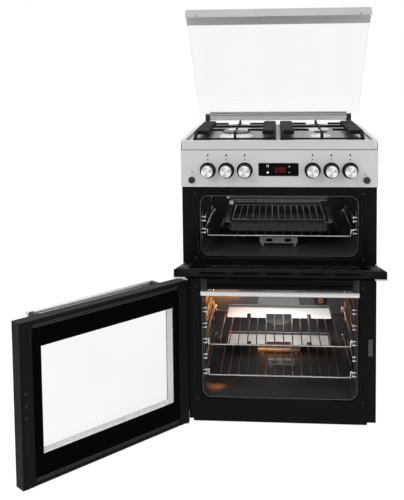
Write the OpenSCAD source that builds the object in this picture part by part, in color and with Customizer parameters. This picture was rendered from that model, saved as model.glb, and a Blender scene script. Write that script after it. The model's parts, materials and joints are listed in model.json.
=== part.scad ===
// Free-standing gas cooker with a double oven: fold-down top oven and grill, side-hung main oven,
// four-burner hob and a hinged glass lid. Every module draws one sub-part in its rest pose.
// Millimetres. X to the right, Y to the back, Z up. Y = 0 is the front of the control panel.

/* [Cabinet] */
// Overall width of the hob and the control panel
cooker_w = 600; // [560:5:640]
// Depth from the control panel's front to the rear cover
cooker_d = 597; // [570:1:640]
// Height of the hob's top edge above the floor
hob_z = 900; // [880:5:930]
// How far each side panel stands back from the overall width
side_inset = 2; // [1:0.5:4]
// Sheet thickness of the cabinet panels
sheet = 1.5; // [1:0.1:2]
// Place of the side panels' front flanges
side_y = 10; // [9:0.5:14]
// Gap between the side panels' front flanges and the oven liners
flange_gap = 1; // [0.5:0.5:4]
// Width of those flanges behind the control panel
flange_top_w = 18; // [10:1:20]
// Width of the side panels' rear flanges
rear_flange_w = 18; // [12:1:30]
// Height of the side panels' lower edge
side_z = 15; // [14:1:22]
// Outer width of the flue duct
flue_w = 120; // [80:5:180]
// Outer height of the flue duct
flue_h = 52; // [30:1:60]
// Number of louvres in the rear cover
louvre_n = 4; // [2:1:4]
// Distance between the louvres
louvre_pitch = 10; // [7:0.5:11]
// Height of a louvre
louvre_h = 4; // [2:0.5:5]
// Clearance between seated pieces
seat_gap = 0.2; // [0.1:0.05:0.3]
// Clearance round a wrapped or loosely held piece
loose_gap = 0.3; // [0.2:0.05:0.4]
// Radial clearance of a turning or sliding fit
run_gap = 0.05; // [0.02:0.01:0.1]

/* [Feet and base] */
// Diameter of a foot's pad
foot_d = 36; // [28:1:44]
// Thickness of a foot's pad
foot_pad = 8; // [6:1:11]
// Diameter of a foot's stem
foot_stem = 10; // [8:1:12]
// Wall of the collar under the base tray
foot_collar = 3; // [2:0.5:5]
// Distance of the feet from the cooker's sides
foot_in = 50; // [42:1:80]
// Place of the front feet
foot_front_y = 75; // [60:5:120]
// Distance of the rear feet from the rear cover
foot_rear = 50; // [40:5:100]
// Height of the base tray's rim
tray_rim = 26; // [18:1:32]
// Wall of the base tray's foot bosses
boss_wall = 4; // [3:0.5:6]

/* [Oven front] */
// Distance of the enamelled front frame from the cooker's sides
frame_in = 29; // [26:1:32]
// Thickness of the front frame
frame_t = 1.8; // [1.2:0.1:1.8]
// Height of the front frame's lower edge
frame_z = 8; // [7:0.5:12]
// Gap between the front frame and the control panel
frame_top_gap = 1; // [0.5:0.1:2]
// Width of the vent slot under each oven mouth
vent_w = 330; // [260:5:360]
// Height of the vent slots
vent_h = 9; // [6:0.5:10]
// Distance of a vent slot from the oven mouth above it
vent_drop = 4; // [3.5:0.5:8]
// Width of the sealing gasket
gasket_w = 8; // [6:0.5:9]
// Distance of the gasket from the oven mouth
gasket_in = 6; // [4:0.5:8]
// Width of the catch plate
catch_w = 13; // [10:0.5:16]
// Gap between the catch plate and the front frame
catch_gap = 3.25; // [1:0.25:5]
// Height of the catch plate
catch_h = 53; // [40:1:70]
// Diameter of the catch plate's holes
catch_hole = 4; // [3:0.5:5]
// Height of the catch plate's lower end above the floor
catch_z = 228; // [180:2:300]

/* [Ovens] */
// Distance of the top oven's walls from the cooker's sides
top_oven_in = 58; // [55:1:65]
// Inside height of the top oven
top_h = 187; // [180:1:190]
// Distance of the top oven's roof below the control panel
top_drop = 29; // [25:1:32]
// Distance of the main oven's walls from the cooker's sides
main_oven_in = 60; // [57:1:63]
// Inside height of the main oven
main_h = 345; // [335:1:350]
// Height of the main oven's floor
main_z = 88; // [84:1:94]
// Corner radius of both ovens
oven_r = 27; // [20:1:34]
// Inside depth of both ovens
oven_d = 420; // [410:2:440]
// Wall thickness of the oven liners
liner_t = 1.5; // [1:0.1:2]
// Width of the liners' front flanges
liner_flange = 12; // [8:1:13]
// Thickness of the insulation
wool = 20; // [14:1:22]
// Radius of the round boss on the main oven's back wall
boss_r = 74; // [60:1:80]
// Height of that boss above the oven floor
boss_up = 174; // [165:1:190]
// How far that boss stands out
boss_out = 4; // [2:0.5:6]
// Width of that boss's raised ring
boss_ring = 12; // [6:1:20]
// Height of the stands' legs on the oven floors
stand_up = 9; // [6:0.5:12]
// Height of the stands' plates
stand_h = 20; // [16:1:24]
// Width of the stands' top folds
stand_fold = 12; // [8:1:16]
// Width of the stands' legs and margins
stand_leg = 6; // [4:0.5:8]
// Height of the stands' windows
stand_win = 10; // [6:0.5:11]
// Width of a stand's windows
stand_win_w = 21; // [16:1:26]
// Width of the top oven's stand
top_stand_w = 122; // [110:1:160]
// Place of the top oven's stand
top_stand_y = 140; // [100:5:250]
// Width of the main oven's stand
main_stand_w = 90; // [84:1:140]
// Distance of the main oven's stand from the middle, sideways
main_stand_x = 8; // [-20:1:20]
// Place of the main oven's stand
main_stand_y = 258; // [200:2:330]

/* [Racks and shelves] */
// Diameter of the side racks' rungs
rung_d = 5; // [4:0.5:5.5]
// Diameter of the side racks' posts
post_d = 6; // [5:0.5:7]
// Distance of the racks' front posts from the oven mouth
post_front = 18; // [14:1:40]
// Distance of the racks' rear posts from the back wall
post_rear = 30; // [26:1:50]
// How far the rungs reach past the posts
rung_over = 10; // [6:0.5:12]
// How far the posts reach past the outer rails
post_over = 25; // [12:1:30]
// Distance between shelf levels in the main oven
level_main = 50; // [46:1:54]
// Distance between shelf levels in the top oven
level_top = 38; // [34:1:42]
// Diameter of a shelf's side rails
rail_d = 6; // [5:0.5:6.5]
// Distance of the main shelves' side rails from the oven walls
rail_in = 11; // [10:0.5:15]
// Distance of the grill shelf's side rails from the oven walls
grill_rail_in = 13; // [11:0.5:17]
// How far the side rails stand above the shelf's bars
rail_up = 18; // [14:1:22]
// Diameter of a shelf's frame wire
wire_d = 5; // [4:0.5:6]
// Diameter of a shelf's bars
bar_d = 4; // [3:0.5:5]
// Number of bars in a shelf
bar_n = 14; // [10:1:16]
// Distance between a shelf's bars
bar_pitch = 28.85; // [24:0.05:30]
// Place of a shelf's front wire
shelf_y = 42; // [36:1:50]
// Distance of a shelf's rear wire from the back wall
shelf_back = 45; // [38:1:60]
// Height of the grill shelf's bars above the top oven's floor
grill_shelf_up = 56; // [50:1:60]
// Height of the upper shelf's bars above the main oven's floor
upper_shelf_up = 158; // [150:1:165]
// Depth of the deflector plate at the rear of a shelf
plate_d = 112; // [96:1:118]
// Width of the deflector plate
plate_w = 360; // [320:2:380]
// Height of the deflector plate's rear lip
plate_lip = 11; // [8:1:16]
// Thickness of the deflector plate
plate_t = 1.2; // [0.8:0.1:1.6]
// Distance of the deflector plate from the back wall
plate_back = 15; // [10:1:24]
// Width of the plate's front notch
notch_w = 90; // [60:2:110]
// Depth of the plate's front notch
notch_d = 44; // [30:1:56]
// Distance of the small notches from the middle
small_notch_x = 104; // [70:1:140]
// Width of the small notches
small_notch_w = 14; // [8:1:20]

/* [Grill] */
// Outer width of the grill pan below its rim
pan_w = 322; // [300:2:340]
// Depth of the grill pan, front to back
pan_d = 280; // [250:2:284]
// Height of the grill pan
pan_h = 29; // [25:1:32]
// Width of the grill pan's rim
pan_rim = 16; // [10:1:20]
// Wall of the grill pan
pan_wall = 1.5; // [1:0.1:2]
// Place of the grill pan's front wall
pan_y = 94; // [90:1:100]
// Corner radius of the grill pan
pan_r = 18; // [12:1:24]
// Height of the trivet's wires above the pan's floor
trivet_up = 34; // [30:1:38]
// Diameter of the trivet's wires
trivet_wire = 4; // [3:0.5:5]
// Distance between the trivet's bars
trivet_pitch = 21; // [16:1:30]
// Gap between the trivet's frame and the pan's walls
trivet_in = 12; // [6:1:18]
// How far the trivet's rear handle stands up
trivet_handle = 10; // [6:1:14]
// Width of the grill burner
grill_w = 310; // [280:2:330]
// Depth of the grill burner
grill_d = 205; // [160:5:230]
// Thickness of the grill burner
grill_t = 15; // [12:1:18]
// Gap between the grill burner and the oven roof
grill_drop = 12; // [8:1:14]
// Place of the grill burner's front edge
grill_y = 95; // [85:1:110]
// Diameter of the grill burner's front bar
grill_lip = 7; // [5:0.5:8]
// Width of the grill burner's edge round its mesh
grill_edge = 10; // [6:1:16]
// Diameter of the studs that hold the grill burner
stud_d = 8; // [5:0.5:10]
// Distance of those studs from the burner's edges
stud_in = 20; // [14:1:30]
// Sideways place of the grill burner's feed tube
feed_x = -100; // [-110:5:-70]

/* [Main burner] */
// Length of the main oven burner
burner_len = 150; // [120:2:200]
// Diameter of the main oven burner's tube
burner_tube = 20; // [16:1:24]
// Distance of the main oven burner from the back wall
burner_back = 45; // [36:1:60]
// Height of the main oven burner's saddles
saddle_h = 8; // [5:0.5:12]
// Width of the saddles
saddle_w = 12; // [8:1:16]
// Depth of the saddles
saddle_d = 16; // [12:1:20]
// Distance of the saddles' middles from the burner's ends
saddle_in = 15; // [10:1:25]
// Number of ports along the burner
port_n = 12; // [8:1:16]
// Diameter of a port
port_d = 3; // [2:0.5:4]
// Sideways place of the main burner's feed tube
burner_feed_x = 40; // [20:5:50]
// Diameter of both oven burners' feed tubes
feed_d = 12; // [10:1:14]
// Diameter of the oven lamp's housing
lamp_d = 48; // [40:1:56]
// Distance of the oven lamp from the middle, sideways
lamp_x = 150; // [135:1:160]
// Height of the oven lamp above the oven floor
lamp_up = 190; // [180:1:210]
// How far the oven lamp's lens stands out
lamp_out = 20; // [12:1:24]
// Thickness of the oven lamp's ring
lamp_ring = 10; // [6:1:11]
// Diameter of the oven lamp's lens at its ring
lens_d = 36; // [30:1:38]
// How much the lens tapers
lens_taper = 10; // [4:1:16]

/* [Hob] */
// Height of the hob's front apron
apron_h = 27.5; // [25:0.5:30]
// Width of the hob's raised rim
hob_rim = 13; // [10:0.5:16]
// Depth of the hob's well
well_h = 7; // [5:0.5:9]
// Distance of the well's rear edge from the lid's hinge bar
well_in = 8.5; // [6:0.5:12]
// Corner radius of the hob
hob_r = 8; // [6:1:12]
// Distance of the front burners from the pan supports' front edges
burner_front_in = 113; // [106:1:120]
// Distance of the rear burners from the pan supports' rear edges
burner_rear_in = 115; // [106:1:120]
// Diameter of the large burner's base
base_large = 112; // [104:1:116]
// Diameter of the medium burners' bases
base_medium = 84; // [80:1:90]
// Diameter of the small burner's base
base_small = 66; // [60:1:70]
// How far a burner's crown stands back from the base's edge
crown_in = 10; // [8:1:12]
// How far a burner's cap stands back from the crown's edge
cap_in = 1; // [0.5:0.5:2]
// Wall of a burner's crown
crown_wall = 8; // [6:1:9]
// How far a burner's neck stands back from the base's edge
neck_in = 12; // [10:1:14]
// How far a burner's neck reaches below the hob's apron
neck_down = 6; // [4:1:10]
// Thickness of a burner's base above the well
base_t = 6; // [5:0.5:7]
// Height of a burner's crown
crown_h = 9; // [7:0.5:10]
// Thickness of a burner's cap
cap_t = 4.5; // [3.5:0.5:5]
// Width of the flame slots
flame_slot = 2; // [1.5:0.1:2.5]
// Distance between the flame slots round the edge
flame_pitch = 11; // [8:0.5:14]
// Diameter of a spark electrode's porcelain
spark_d = 5; // [4:0.5:6]
// Diameter of a spark electrode's tip
spark_tip = 1.6; // [1.2:0.1:2]
// Length of the grill's igniter
grill_spark = 30; // [20:1:40]
// Distance of the pan supports from the hob's rim, sideways
support_side = 22; // [18:1:28]
// Place of the pan supports' front bars
support_y = 52; // [48:1:58]
// Distance of the pan supports from the rear edge of the hob's well
support_back = 38.5; // [30:0.5:46]
// Gap between the two pan supports
support_gap = 14; // [10:1:18]
// Height of the pan supports' tops above the hob's edge
support_top = 21; // [19:1:23]
// Width of the pan supports' bars and fingers
support_bar = 6; // [4:0.5:9]
// Height of the pan supports' front and rear bars
support_bar_h = 5; // [4:0.5:8]
// Width of the raised side plates
shoulder_w = 43; // [34:1:48]
// Thickness of the raised side plates
shoulder_t = 12; // [9:0.5:13]
// Distance of the side plates' ends from the front and rear bars
shoulder_in = 46; // [34:1:56]
// Width of the sloping legs
leg_w = 10; // [8:0.5:14]
// Clear radius between the fingers over a burner
finger_clear = 38; // [30:1:44]
// Distance of the front and rear blades from a burner's base
finger_step = 8; // [7:0.5:12]
// Gap between the fingers' ends and a burner's cap below them
finger_gap = 1; // [0.5:0.1:2]
// Corner radius of the side plates
support_r = 8; // [4:0.5:9]
// Height of the pan supports' bars above the well
support_up = 4.5; // [3:0.5:8]
// Diameter of the pan supports' feet
support_foot = 12; // [9:1:14]

/* [Control panel] */
// Height of the control panel
panel_h = 115.5; // [112:0.5:118]
// Height of the knobs above the control panel's lower edge
knob_up = 51.5; // [48:0.5:56]
// Distance of the outer knobs' middles from the cooker's sides
knob_in = 83.5; // [79:0.5:87]
// Distance of the inner knobs' middles from the timer's face
knob_side = 42.1; // [38:0.1:46]
// Distance between neighbouring knobs
knob_pitch = 56.7; // [54:0.1:58]
// Diameter of a knob
knob_d = 39; // [34:1:41]
// How far a knob stands out
knob_out = 42; // [34:1:46]
// Outer diameter of a knob's bezel
bezel_d = 50; // [47:1:53]
// How far a knob's bezel stands out
bezel_out = 5; // [3:0.5:7]
// Diameter of the taps' spindles
spindle_d = 8; // [6:0.5:10]
// Gap between a knob and its bezel
bezel_gap = 0.5; // [0.3:0.1:1]
// Bevel of a bezel's edge
bezel_bevel = 2; // [1:0.5:2.5]
// Bevel of a knob's front edge
knob_bevel = 4.5; // [2:0.5:6]
// Width of the rim round a knob's sunk face
knob_rim = 2.5; // [1.5:0.5:4]
// Depth of that face
knob_dish = 1; // [0.5:0.1:2]
// Width of a knob's pointer notch
pointer_w = 2.4; // [1.6:0.1:3]
// Length of a knob's pointer notch
pointer_len = 4; // [2:0.5:7]
// Height of the timer's face
timer_h = 40; // [34:1:44]
// Thickness of the timer's face
timer_t = 2; // [1:0.5:3]
// Depth of the timer's housing
timer_d = 45; // [30:1:60]
// How far the timer's face reaches past its cut-out
timer_lap = 4; // [3:0.5:6]
// Height of the timer's middle above the knobs
timer_up = 2.5; // [0:0.5:5]
// Diameter of the push buttons
button_d = 20; // [16:1:24]
// Distance of the push buttons from the cooker's sides
button_in = 33.5; // [28:0.5:37]
// Height of the push buttons above the control panel's lower edge
button_up = 21; // [18:0.5:26]
// How far the push buttons stand out
button_out = 7; // [5:0.5:9]
// Travel of the push buttons
button_travel = 4; // [2:0.5:4.5]
// How far the push buttons' stems are thinner on each side
stem_in = 2; // [1:0.5:3]
// Depth at which a push button's stem meets its switch
button_back = 28; // [24:1:34]
// Bevel of the push buttons' edges
button_bevel = 1; // [0.5:0.1:2]

/* [Gas and mains] */
// Diameter of the gas rail
gas_rail_d = 20; // [16:1:24]
// Place of the gas rail
gas_rail_y = 40; // [36:1:48]
// Diameter of the burner pipes
pipe_d = 8; // [6:1:10]
// Height of the taps' bodies
tap_h = 32; // [28:1:36]
// Width of the taps' bodies
tap_w = 25.6; // [22:0.1:28]
// Depth of the taps' noses
tap_nose = 8; // [6:0.5:10]
// Diameter of the taps' noses
tap_nose_d = 19; // [16:0.5:22]
// Distance of the taps' noses behind the cabinet's front
tap_in = 2; // [1:0.5:4]
// Distance from the gas rail to the ends of the taps
tap_past = 6; // [4:0.5:10]
// Distance of the oven pipes from the insulation
pipe_gap = 12; // [8:1:20]
// Radius of the gas inlet's pipe thread
inlet_r = 10.48; // [8:0.01:14]
// Length of the gas inlet's thread
inlet_len = 18; // [14:1:24]
// Diameter of the pipe behind the gas inlet
inlet_pipe = 16; // [12:1:18]
// Width of the gas inlet's hexagon over its corners
inlet_hex = 26; // [24:1:30]
// Depth of the gas inlet's hexagon
inlet_hex_d = 12; // [8:1:14]
// Distance of the gas inlet's inner end from the rear cover
inlet_back = 20; // [16:1:26]
// Clearance round the gas inlet in the rear cover
inlet_clear = 1.5; // [0.5:0.1:3]
// Distance of the gas inlet from the cooker's side
inlet_in = 38; // [32:1:45]
// Radius of the cable gland's bore
gland_r = 5; // [4:0.5:7]
// Length of the cable gland outside the rear cover
gland_len = 16; // [12:1:24]
// Wall of the cable gland's neck
gland_wall = 3; // [2:0.5:4]
// Width of the cable gland's collar
gland_collar = 4; // [3:0.5:6]
// Width of the mains terminal box
terminal_w = 48; // [30:1:56]
// Height of the mains terminal box
terminal_h = 60; // [40:1:80]
// Depth of the mains terminal box
terminal_d = 25; // [18:1:34]
// Gap between the terminal box and the rear cover
terminal_gap = 9; // [4:1:12]
// Gap between the ignition unit and the nearest tap
spark_gap = 9; // [5:1:20]
// Depth of the ignition unit
spark_box_d = 45; // [30:1:60]
// Height of the ignition unit
spark_box_h = 40; // [30:1:44]
// Height of the cable gland
gland_z = 640; // [600:5:680]
// Distance of the cable gland from the cooker's side
gland_in = 75; // [60:1:95]

/* [Top oven door] */
// Angle that the top oven's door stands open at rest
top_door_open = 79.6; // [60:0.1:84]
// Height of the top door's lower edge
top_door_z = 502; // [500.5:0.5:505]
// Gap between the top door and the control panel
top_door_gap = 6; // [4:0.5:10]
// Thickness of the top door
top_door_t = 25; // [24:0.5:28]
// Height of the top door's pivot above its lower edge
top_pivot_up = 8.5; // [7:0.5:9]
// Half the height of the top door's hinge ears
ear_half = 8; // [6:0.5:8]
// Distance of those ears from the door's sides
ear_gap = 1.2; // [0.6:0.1:1.4]

/* [Main oven door] */
// Angle that the main oven's door stands open at rest
main_door_open = 132; // [90:1:132]
// Height of the main door's lower edge
main_door_z = 9; // [8.5:0.5:12]
// Height of the gap between the two doors
door_between = 36; // [33:1:43]
// Thickness of the main door
main_door_t = 37; // [33:0.5:38]
// Distance of the main door's pivot from its hinged edge
main_pivot_in = 4.5; // [4:0.5:6]
// Gap between the main door and its hinge ears
lug_gap = 0.6; // [0.4:0.1:1]
// How far a main hinge ear reaches past its pin
lug_past = 9; // [7:0.5:12]
// Height of the main hinge's flange plates
lug_rise = 26; // [18:1:32]

/* [Both doors] */
// Distance of the doors' edges from the cooker's sides
door_in = 3; // [2.5:0.5:7]
// Place of the closed doors' inner faces
door_in_y = 3; // [2:0.5:4]
// How far the top door's inner panel is narrower on each side
inner_inset = 6; // [5.5:0.5:8]
// Place of the doors' pivots
pivot_y = -4.5; // [-6:0.5:-4]
// Thickness of the doors' glass panes
pane_t = 4; // [3:0.5:5]
// Width of the sheet margin round the inner panes
door_margin = 33; // [28:1:40]
// How far the inner panes reach behind that margin
pane_lap = 8; // [5:1:12]
// Diameter of the hinge pins
pin_d = 6; // [5:0.5:7]
// Thickness of the hinge brackets
lug_t = 4; // [3:0.5:5]
// Diameter of the handle bars
handle_d = 15; // [12:0.5:16]
// Length of the handle bars
handle_len = 446; // [400:2:480]
// Distance of the handle bars' middles from the outer glass
handle_out = 45; // [38:1:50]
// Distance of the top handle from the door's upper edge
top_handle_drop = 45; // [30:1:60]
// Distance of the main handle from the door's upper edge
main_handle_drop = 9; // [8:1:30]
// Width of a handle bracket
bracket_w = 17; // [12:1:22]
// Height of a handle bracket
bracket_h = 15; // [12:1:16]
// Length of each vent slot in the top door's upper edge
door_slot = 70; // [50:1:76]
// Distance between those vent slots
door_slot_pitch = 93; // [86:1:96]
// Width of those vent slots
door_slot_w = 5; // [3:0.5:7]
// Distance of those vent slots from the door's inner face
door_slot_in = 7; // [5:0.5:8]
// Corner radius of the doors' panes
pane_r = 4; // [2:0.5:6]

/* [Lid] */
// Angle that the lid stands above level at rest
lid_open = 43; // [20:1:60]
// Distance of the lid glass's edges from the cooker's sides
lid_in = 5; // [3:0.5:15]
// Place of the shut lid's front edge
lid_front = 27; // [25:1:37]
// Thickness of the lid's glass
lid_t = 5; // [4:0.5:6]
// Distance of the lid trim's ends from the cooker's sides
trim_in = 1.5; // [0:0.5:4]
// Depth of the lid's front trim
trim_d = 64; // [50:1:70]
// How far the trim reaches over the glass
trim_lap = 16; // [10:1:24]
// Sheet thickness of the trim
trim_t = 1.5; // [1:0.1:2]
// Corner radius of the lid's glass
lid_r = 8; // [4:1:12]
// Depth of the trim's front lip
trim_lip = 26; // [20:1:28]
// Distance of the lid's pivot from the rear cover
lid_axis_back = 22; // [20:1:30]
// Height of the lid's pivot above the hob's edge
lid_axis_up = 32; // [31:0.5:36]
// Depth of the lid's hinge bar, lid shut
hinge_bar_w = 26; // [22:1:30]
// Height of the lid's hinge bar, lid shut
hinge_bar_h = 22; // [18:1:26]
// Length of the lid's hinge bar
hinge_bar_len = 506; // [480:2:510]
// Thickness of the clamp along the hinge bar
clamp_t = 14; // [12:0.5:16]
// Reach of that clamp over the glass
clamp_d = 17; // [15:0.5:20]
// Width of the hinge blocks
block_w = 17; // [12:1:20]
// Wall of the hinge blocks round their pins
block_wall = 5; // [4:0.5:5.5]
// Diameter of the lid's hinge pins
lid_pin = 8; // [6:0.5:9]

/* [Hidden] */
$fn = 48;

over = 1;                                    // how far a cutting shape runs past a face
side_x = cooker_w / 2 - side_inset;          // outer face of a side panel
apron_z = hob_z - apron_h;                   // underside of the hob
panel_z = apron_z - panel_h;                 // lower edge of the control panel
top_w = cooker_w - 2 * top_oven_in;          // inside width of the top oven
main_w = cooker_w - 2 * main_oven_in;        // inside width of the main oven
top_z = panel_z - top_drop - top_h;          // floor of the top oven
frame_w = cooker_w - 2 * frame_in;
flange_w = side_x - max(top_w, main_w) / 2 - liner_flange - flange_gap;
frame_y = side_y - seat_gap - frame_t;       // front face of the front frame
frame_top = panel_z - frame_top_gap;
liner_y = side_y;                            // front of the liners' flanges
oven_back = side_y + oven_d;                 // inner face of the back walls
wool_back = oven_back + liner_t + loose_gap + wool;
shelf_d = oven_back - shelf_back - shelf_y;
main_rail_x = main_w / 2 - rail_in;          // middles of the shelves' side rails
grill_rail_x = top_w / 2 - grill_rail_in;
well_z = hob_z - well_h;                     // surface of the hob's well
base_z = well_z + seat_gap;
crown_z = base_z + base_t + seat_gap;
cap_z = crown_z + crown_h + seat_gap;
knob_z = panel_z + knob_up;
knob_inner = cooker_w / 2 - knob_in - 2 * knob_pitch;
timer_w = 2 * (knob_inner - knob_side);      // the timer's face fits between the knobs
knob_xs = [-knob_inner - 2 * knob_pitch, -knob_inner - knob_pitch, -knob_inner, knob_inner,
    knob_inner + knob_pitch, knob_inner + 2 * knob_pitch];
button_x = cooker_w / 2 - button_in;
button_z = panel_z + button_up;
grill_shelf_z = top_z + grill_shelf_up;
upper_shelf_z = main_z + upper_shelf_up;
lower_shelf_z = upper_shelf_z - 2 * level_main;
pan_z = grill_shelf_z + bar_d / 2 + loose_gap;    // underside of the grill pan
top_door_top = panel_z - top_door_gap;
top_pivot_z = top_door_z + top_pivot_up;
main_door_top = top_door_z - door_between;
door_w = cooker_w - 2 * door_in;             // width of the doors' outer glass
main_pivot_x = -door_w / 2 + main_pivot_in;
lid_y = cooker_d - lid_axis_back;
lid_z = hob_z + lid_axis_up;
lid_w = cooker_w - 2 * lid_in;
lid_len = lid_y - lid_front;
trim_w = cooker_w - 2 * trim_in;
gas_rail_z = knob_z - tap_h / 2 - gas_rail_d / 2 - seat_gap;
well_back = lid_y - hinge_bar_w / 2 - well_in;    // rear edge of the hob's well
support_w = cooker_w / 2 - hob_rim - support_side - support_gap / 2;
support_d = well_back - support_back - support_y;
burner_x = (support_gap + support_w) / 2;    // middles of the pan supports
burner_front = support_y + burner_front_in;
burner_rear = support_y + support_d - burner_rear_in;
burners = [[-burner_x, burner_front, base_large], [-burner_x, burner_rear, base_medium],
    [burner_x, burner_rear, base_medium], [burner_x, burner_front, base_small]];

foot_x = cooker_w / 2 - foot_in;
inlet_x = cooker_w / 2 - inlet_in;
gland_x = cooker_w / 2 - gland_in;
flue_z = top_z + top_h - flue_h;             // underside of the flue duct
tube_gap = 2 * seat_gap;                     // hole for a tube, over its diameter
gland_neck_d = 2 * (gland_r + gland_wall);
tap_y = side_y + tap_in;                     // front of the taps' noses
tap_back = gas_rail_y + gas_rail_d / 2 + tap_past;
tap_bore_end = tap_back - seat_gap - tap_nose;
pipe_y = wool_back + pipe_gap;               // plane of the pipes behind the ovens
wire_z = (wire_d - bar_d) / 2;               // shelf frame's middle below its bars
hinge_half = lid_pin / 2 + block_wall;       // radius of the hinge blocks' round tops
glass_near = hinge_half + 2 * loose_gap;     // from the lid's pivot to its glass
top_out_y = door_in_y - top_door_t;          // outer face of the shut top door
main_out_y = door_in_y - main_door_t;        // outer face of the shut main door
grill_mid_z = top_z + top_h - grill_drop - grill_t / 2;
burner_mid_z = main_z + saddle_h + burner_tube / 2;

// The four hob taps' places and their burners, front left first
hob_pipes = [[knob_xs[1], burners[0]], [knob_xs[2], burners[1]], [knob_xs[3], burners[2]],
    [knob_xs[4], burners[3]]];

// Plain building shapes

module block(x, y, z) {
    translate([x[0], y[0], z[0]]) cube([x[1] - x[0], y[1] - y[0], z[1] - z[0]]);
}

module rod_x(x, y, z, d) {
    translate([x[0], y, z]) rotate([0, 90, 0]) cylinder(d = d, h = x[1] - x[0]);
}

module rod_y(x, y, z, d) {
    translate([x, y[0], z]) rotate([-90, 0, 0]) cylinder(d = d, h = y[1] - y[0]);
}

module rod_z(x, y, z, d) {
    translate([x, y, z[0]]) cylinder(d = d, h = z[1] - z[0]);
}

// Rounded rectangle in the plane
module rounded(u, v, r) {
    translate([u[0] + r, v[0]]) square([u[1] - u[0] - 2 * r, v[1] - v[0]]);
    translate([u[0], v[0] + r]) square([u[1] - u[0], v[1] - v[0] - 2 * r]);
    for (a = [u[0] + r, u[1] - r], b = [v[0] + r, v[1] - r]) translate([a, b]) circle(r);
}

// Rounded plate that faces the front, from y[0] to y[1]
module upright(x, y, z, r) {
    translate([0, y[1], 0]) rotate([90, 0, 0]) linear_extrude(y[1] - y[0]) rounded(x, z, r);
}

// Rounded plate that lies flat, from z[0] to z[1]
module flat(x, y, z, r) {
    translate([0, 0, z[0]]) linear_extrude(z[1] - z[0]) rounded(x, y, r);
}

// Cabinet

module side_panel() {
    inner = side_x - sheet;
    top = apron_z - seat_gap;
    color("dimgray") union() {
        block([inner, side_x], [side_y, cooker_d], [side_z, top]);
        block([side_x - flange_w, side_x], [side_y, side_y + sheet], [side_z, panel_z]);
        block([side_x - flange_top_w, side_x], [side_y, side_y + sheet], [panel_z - over, top]);
        block([side_x - rear_flange_w, side_x], [cooker_d - sheet, cooker_d], [side_z, top]);
    }
}

module side_panel_left() { mirror([1, 0, 0]) side_panel(); }

module side_panel_right() { side_panel(); }

module rear_cover() {
    x = side_x - sheet;
    louvre_w = flue_w - 4 * sheet;
    color("silver") difference() {
        block([-x, x], [cooker_d, cooker_d + sheet], [side_z, apron_z - seat_gap]);
        for (i = [0:louvre_n - 1]) block([-louvre_w / 2, louvre_w / 2],
            [cooker_d - over, cooker_d + sheet + over],
            [flue_z + louvre_pitch * (i + 1), flue_z + louvre_pitch * (i + 1) + louvre_h]);
        rod_y(inlet_x, [cooker_d - over, cooker_d + sheet + over], gas_rail_z,
            2 * (inlet_r + inlet_clear));
        rod_y(gland_x, [cooker_d - over, cooker_d + sheet + over], gland_z, gland_neck_d + tube_gap);
    }
}

module base_tray() {
    x = side_x - sheet - seat_gap;
    y = [side_y + sheet + seat_gap, cooker_d - sheet - seat_gap];
    z = [side_z, side_z + sheet];
    rim = [side_z, side_z + tray_rim];
    color("dimgray") difference() {
        union() {
            block([-x, x], y, z);
            for (s = [0, 1]) mirror([s, 0, 0]) block([x - sheet, x], y, rim);
            block([-x, x], [y[0], y[0] + sheet], rim);
            block([-x, x], [y[1] - sheet, y[1]], rim);
            feet() rod_z(0, 0, rim, foot_stem + 2 * boss_wall);
        }
        feet() rod_z(0, 0, [side_z - over, side_z + tray_rim + over], foot_stem + 2 * run_gap);
    }
}

// Puts its children at each foot
module feet() {
    for (x = [-foot_x, foot_x], y = [foot_front_y, cooker_d - foot_rear]) translate([x, y, 0])
        children();
}

module adjustable_feet() {
    color("black") feet() union() {
        cylinder(d = foot_d, h = foot_pad);
        cylinder(d = foot_stem, h = side_z + tray_rim);
        cylinder(d = foot_stem + 2 * foot_collar, h = side_z - seat_gap);
    }
}

module front_frame() {
    cut = [frame_y - over, frame_y + frame_t + over];
    top_vent = top_z - vent_drop - vent_h;
    main_vent = main_z - vent_drop - vent_h;
    color("black") difference() {
        upright([-frame_w / 2, frame_w / 2], [frame_y, frame_y + frame_t], [frame_z, frame_top], pane_r);
        upright([-top_w / 2, top_w / 2], cut, [top_z, top_z + top_h], oven_r);
        upright([-main_w / 2, main_w / 2], cut, [main_z, main_z + main_h], oven_r);
        for (z = [top_vent, main_vent]) block([-vent_w / 2, vent_w / 2], cut, [z, z + vent_h]);
    }
}

module catch_plate() {
    x = [frame_w / 2 + catch_gap, frame_w / 2 + catch_gap + catch_w];
    color("lightgray") difference() {
        block(x, [side_y - seat_gap - sheet, side_y - seat_gap], [catch_z, catch_z + catch_h]);
        for (z = [catch_z + catch_h / 4, catch_z + catch_h * 3 / 4])
            rod_y((x[0] + x[1]) / 2, [side_y - 2 * sheet - over, side_y], z, catch_hole);
    }
}

// Ovens

// Enamelled box of inside width w and height h whose floor is at z, open to the front
module liner(w, h, z) {
    out = liner_flange;
    union() {
        difference() {
            upright([-w / 2 - liner_t, w / 2 + liner_t], [liner_y, oven_back + liner_t],
                [z - liner_t, z + h + liner_t], oven_r + liner_t);
            upright([-w / 2, w / 2], [liner_y - over, oven_back], [z, z + h], oven_r);
        }
        difference() {
            upright([-w / 2 - out, w / 2 + out], [liner_y, liner_y + liner_t],
                [z - out, z + h + out], oven_r + out);
            upright([-w / 2 - liner_t / 2, w / 2 + liner_t / 2],
                [liner_y - over, liner_y + liner_t + over],
                [z - liner_t / 2, z + h + liner_t / 2], oven_r + liner_t / 2);
        }
    }
}

module top_oven_liner() {
    color("slategray") difference() {
        liner(top_w, top_h, top_z);
        rod_y(feed_x, [oven_back - over, oven_back + liner_t + over], grill_mid_z, feed_d + tube_gap);
    }
}

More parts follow.
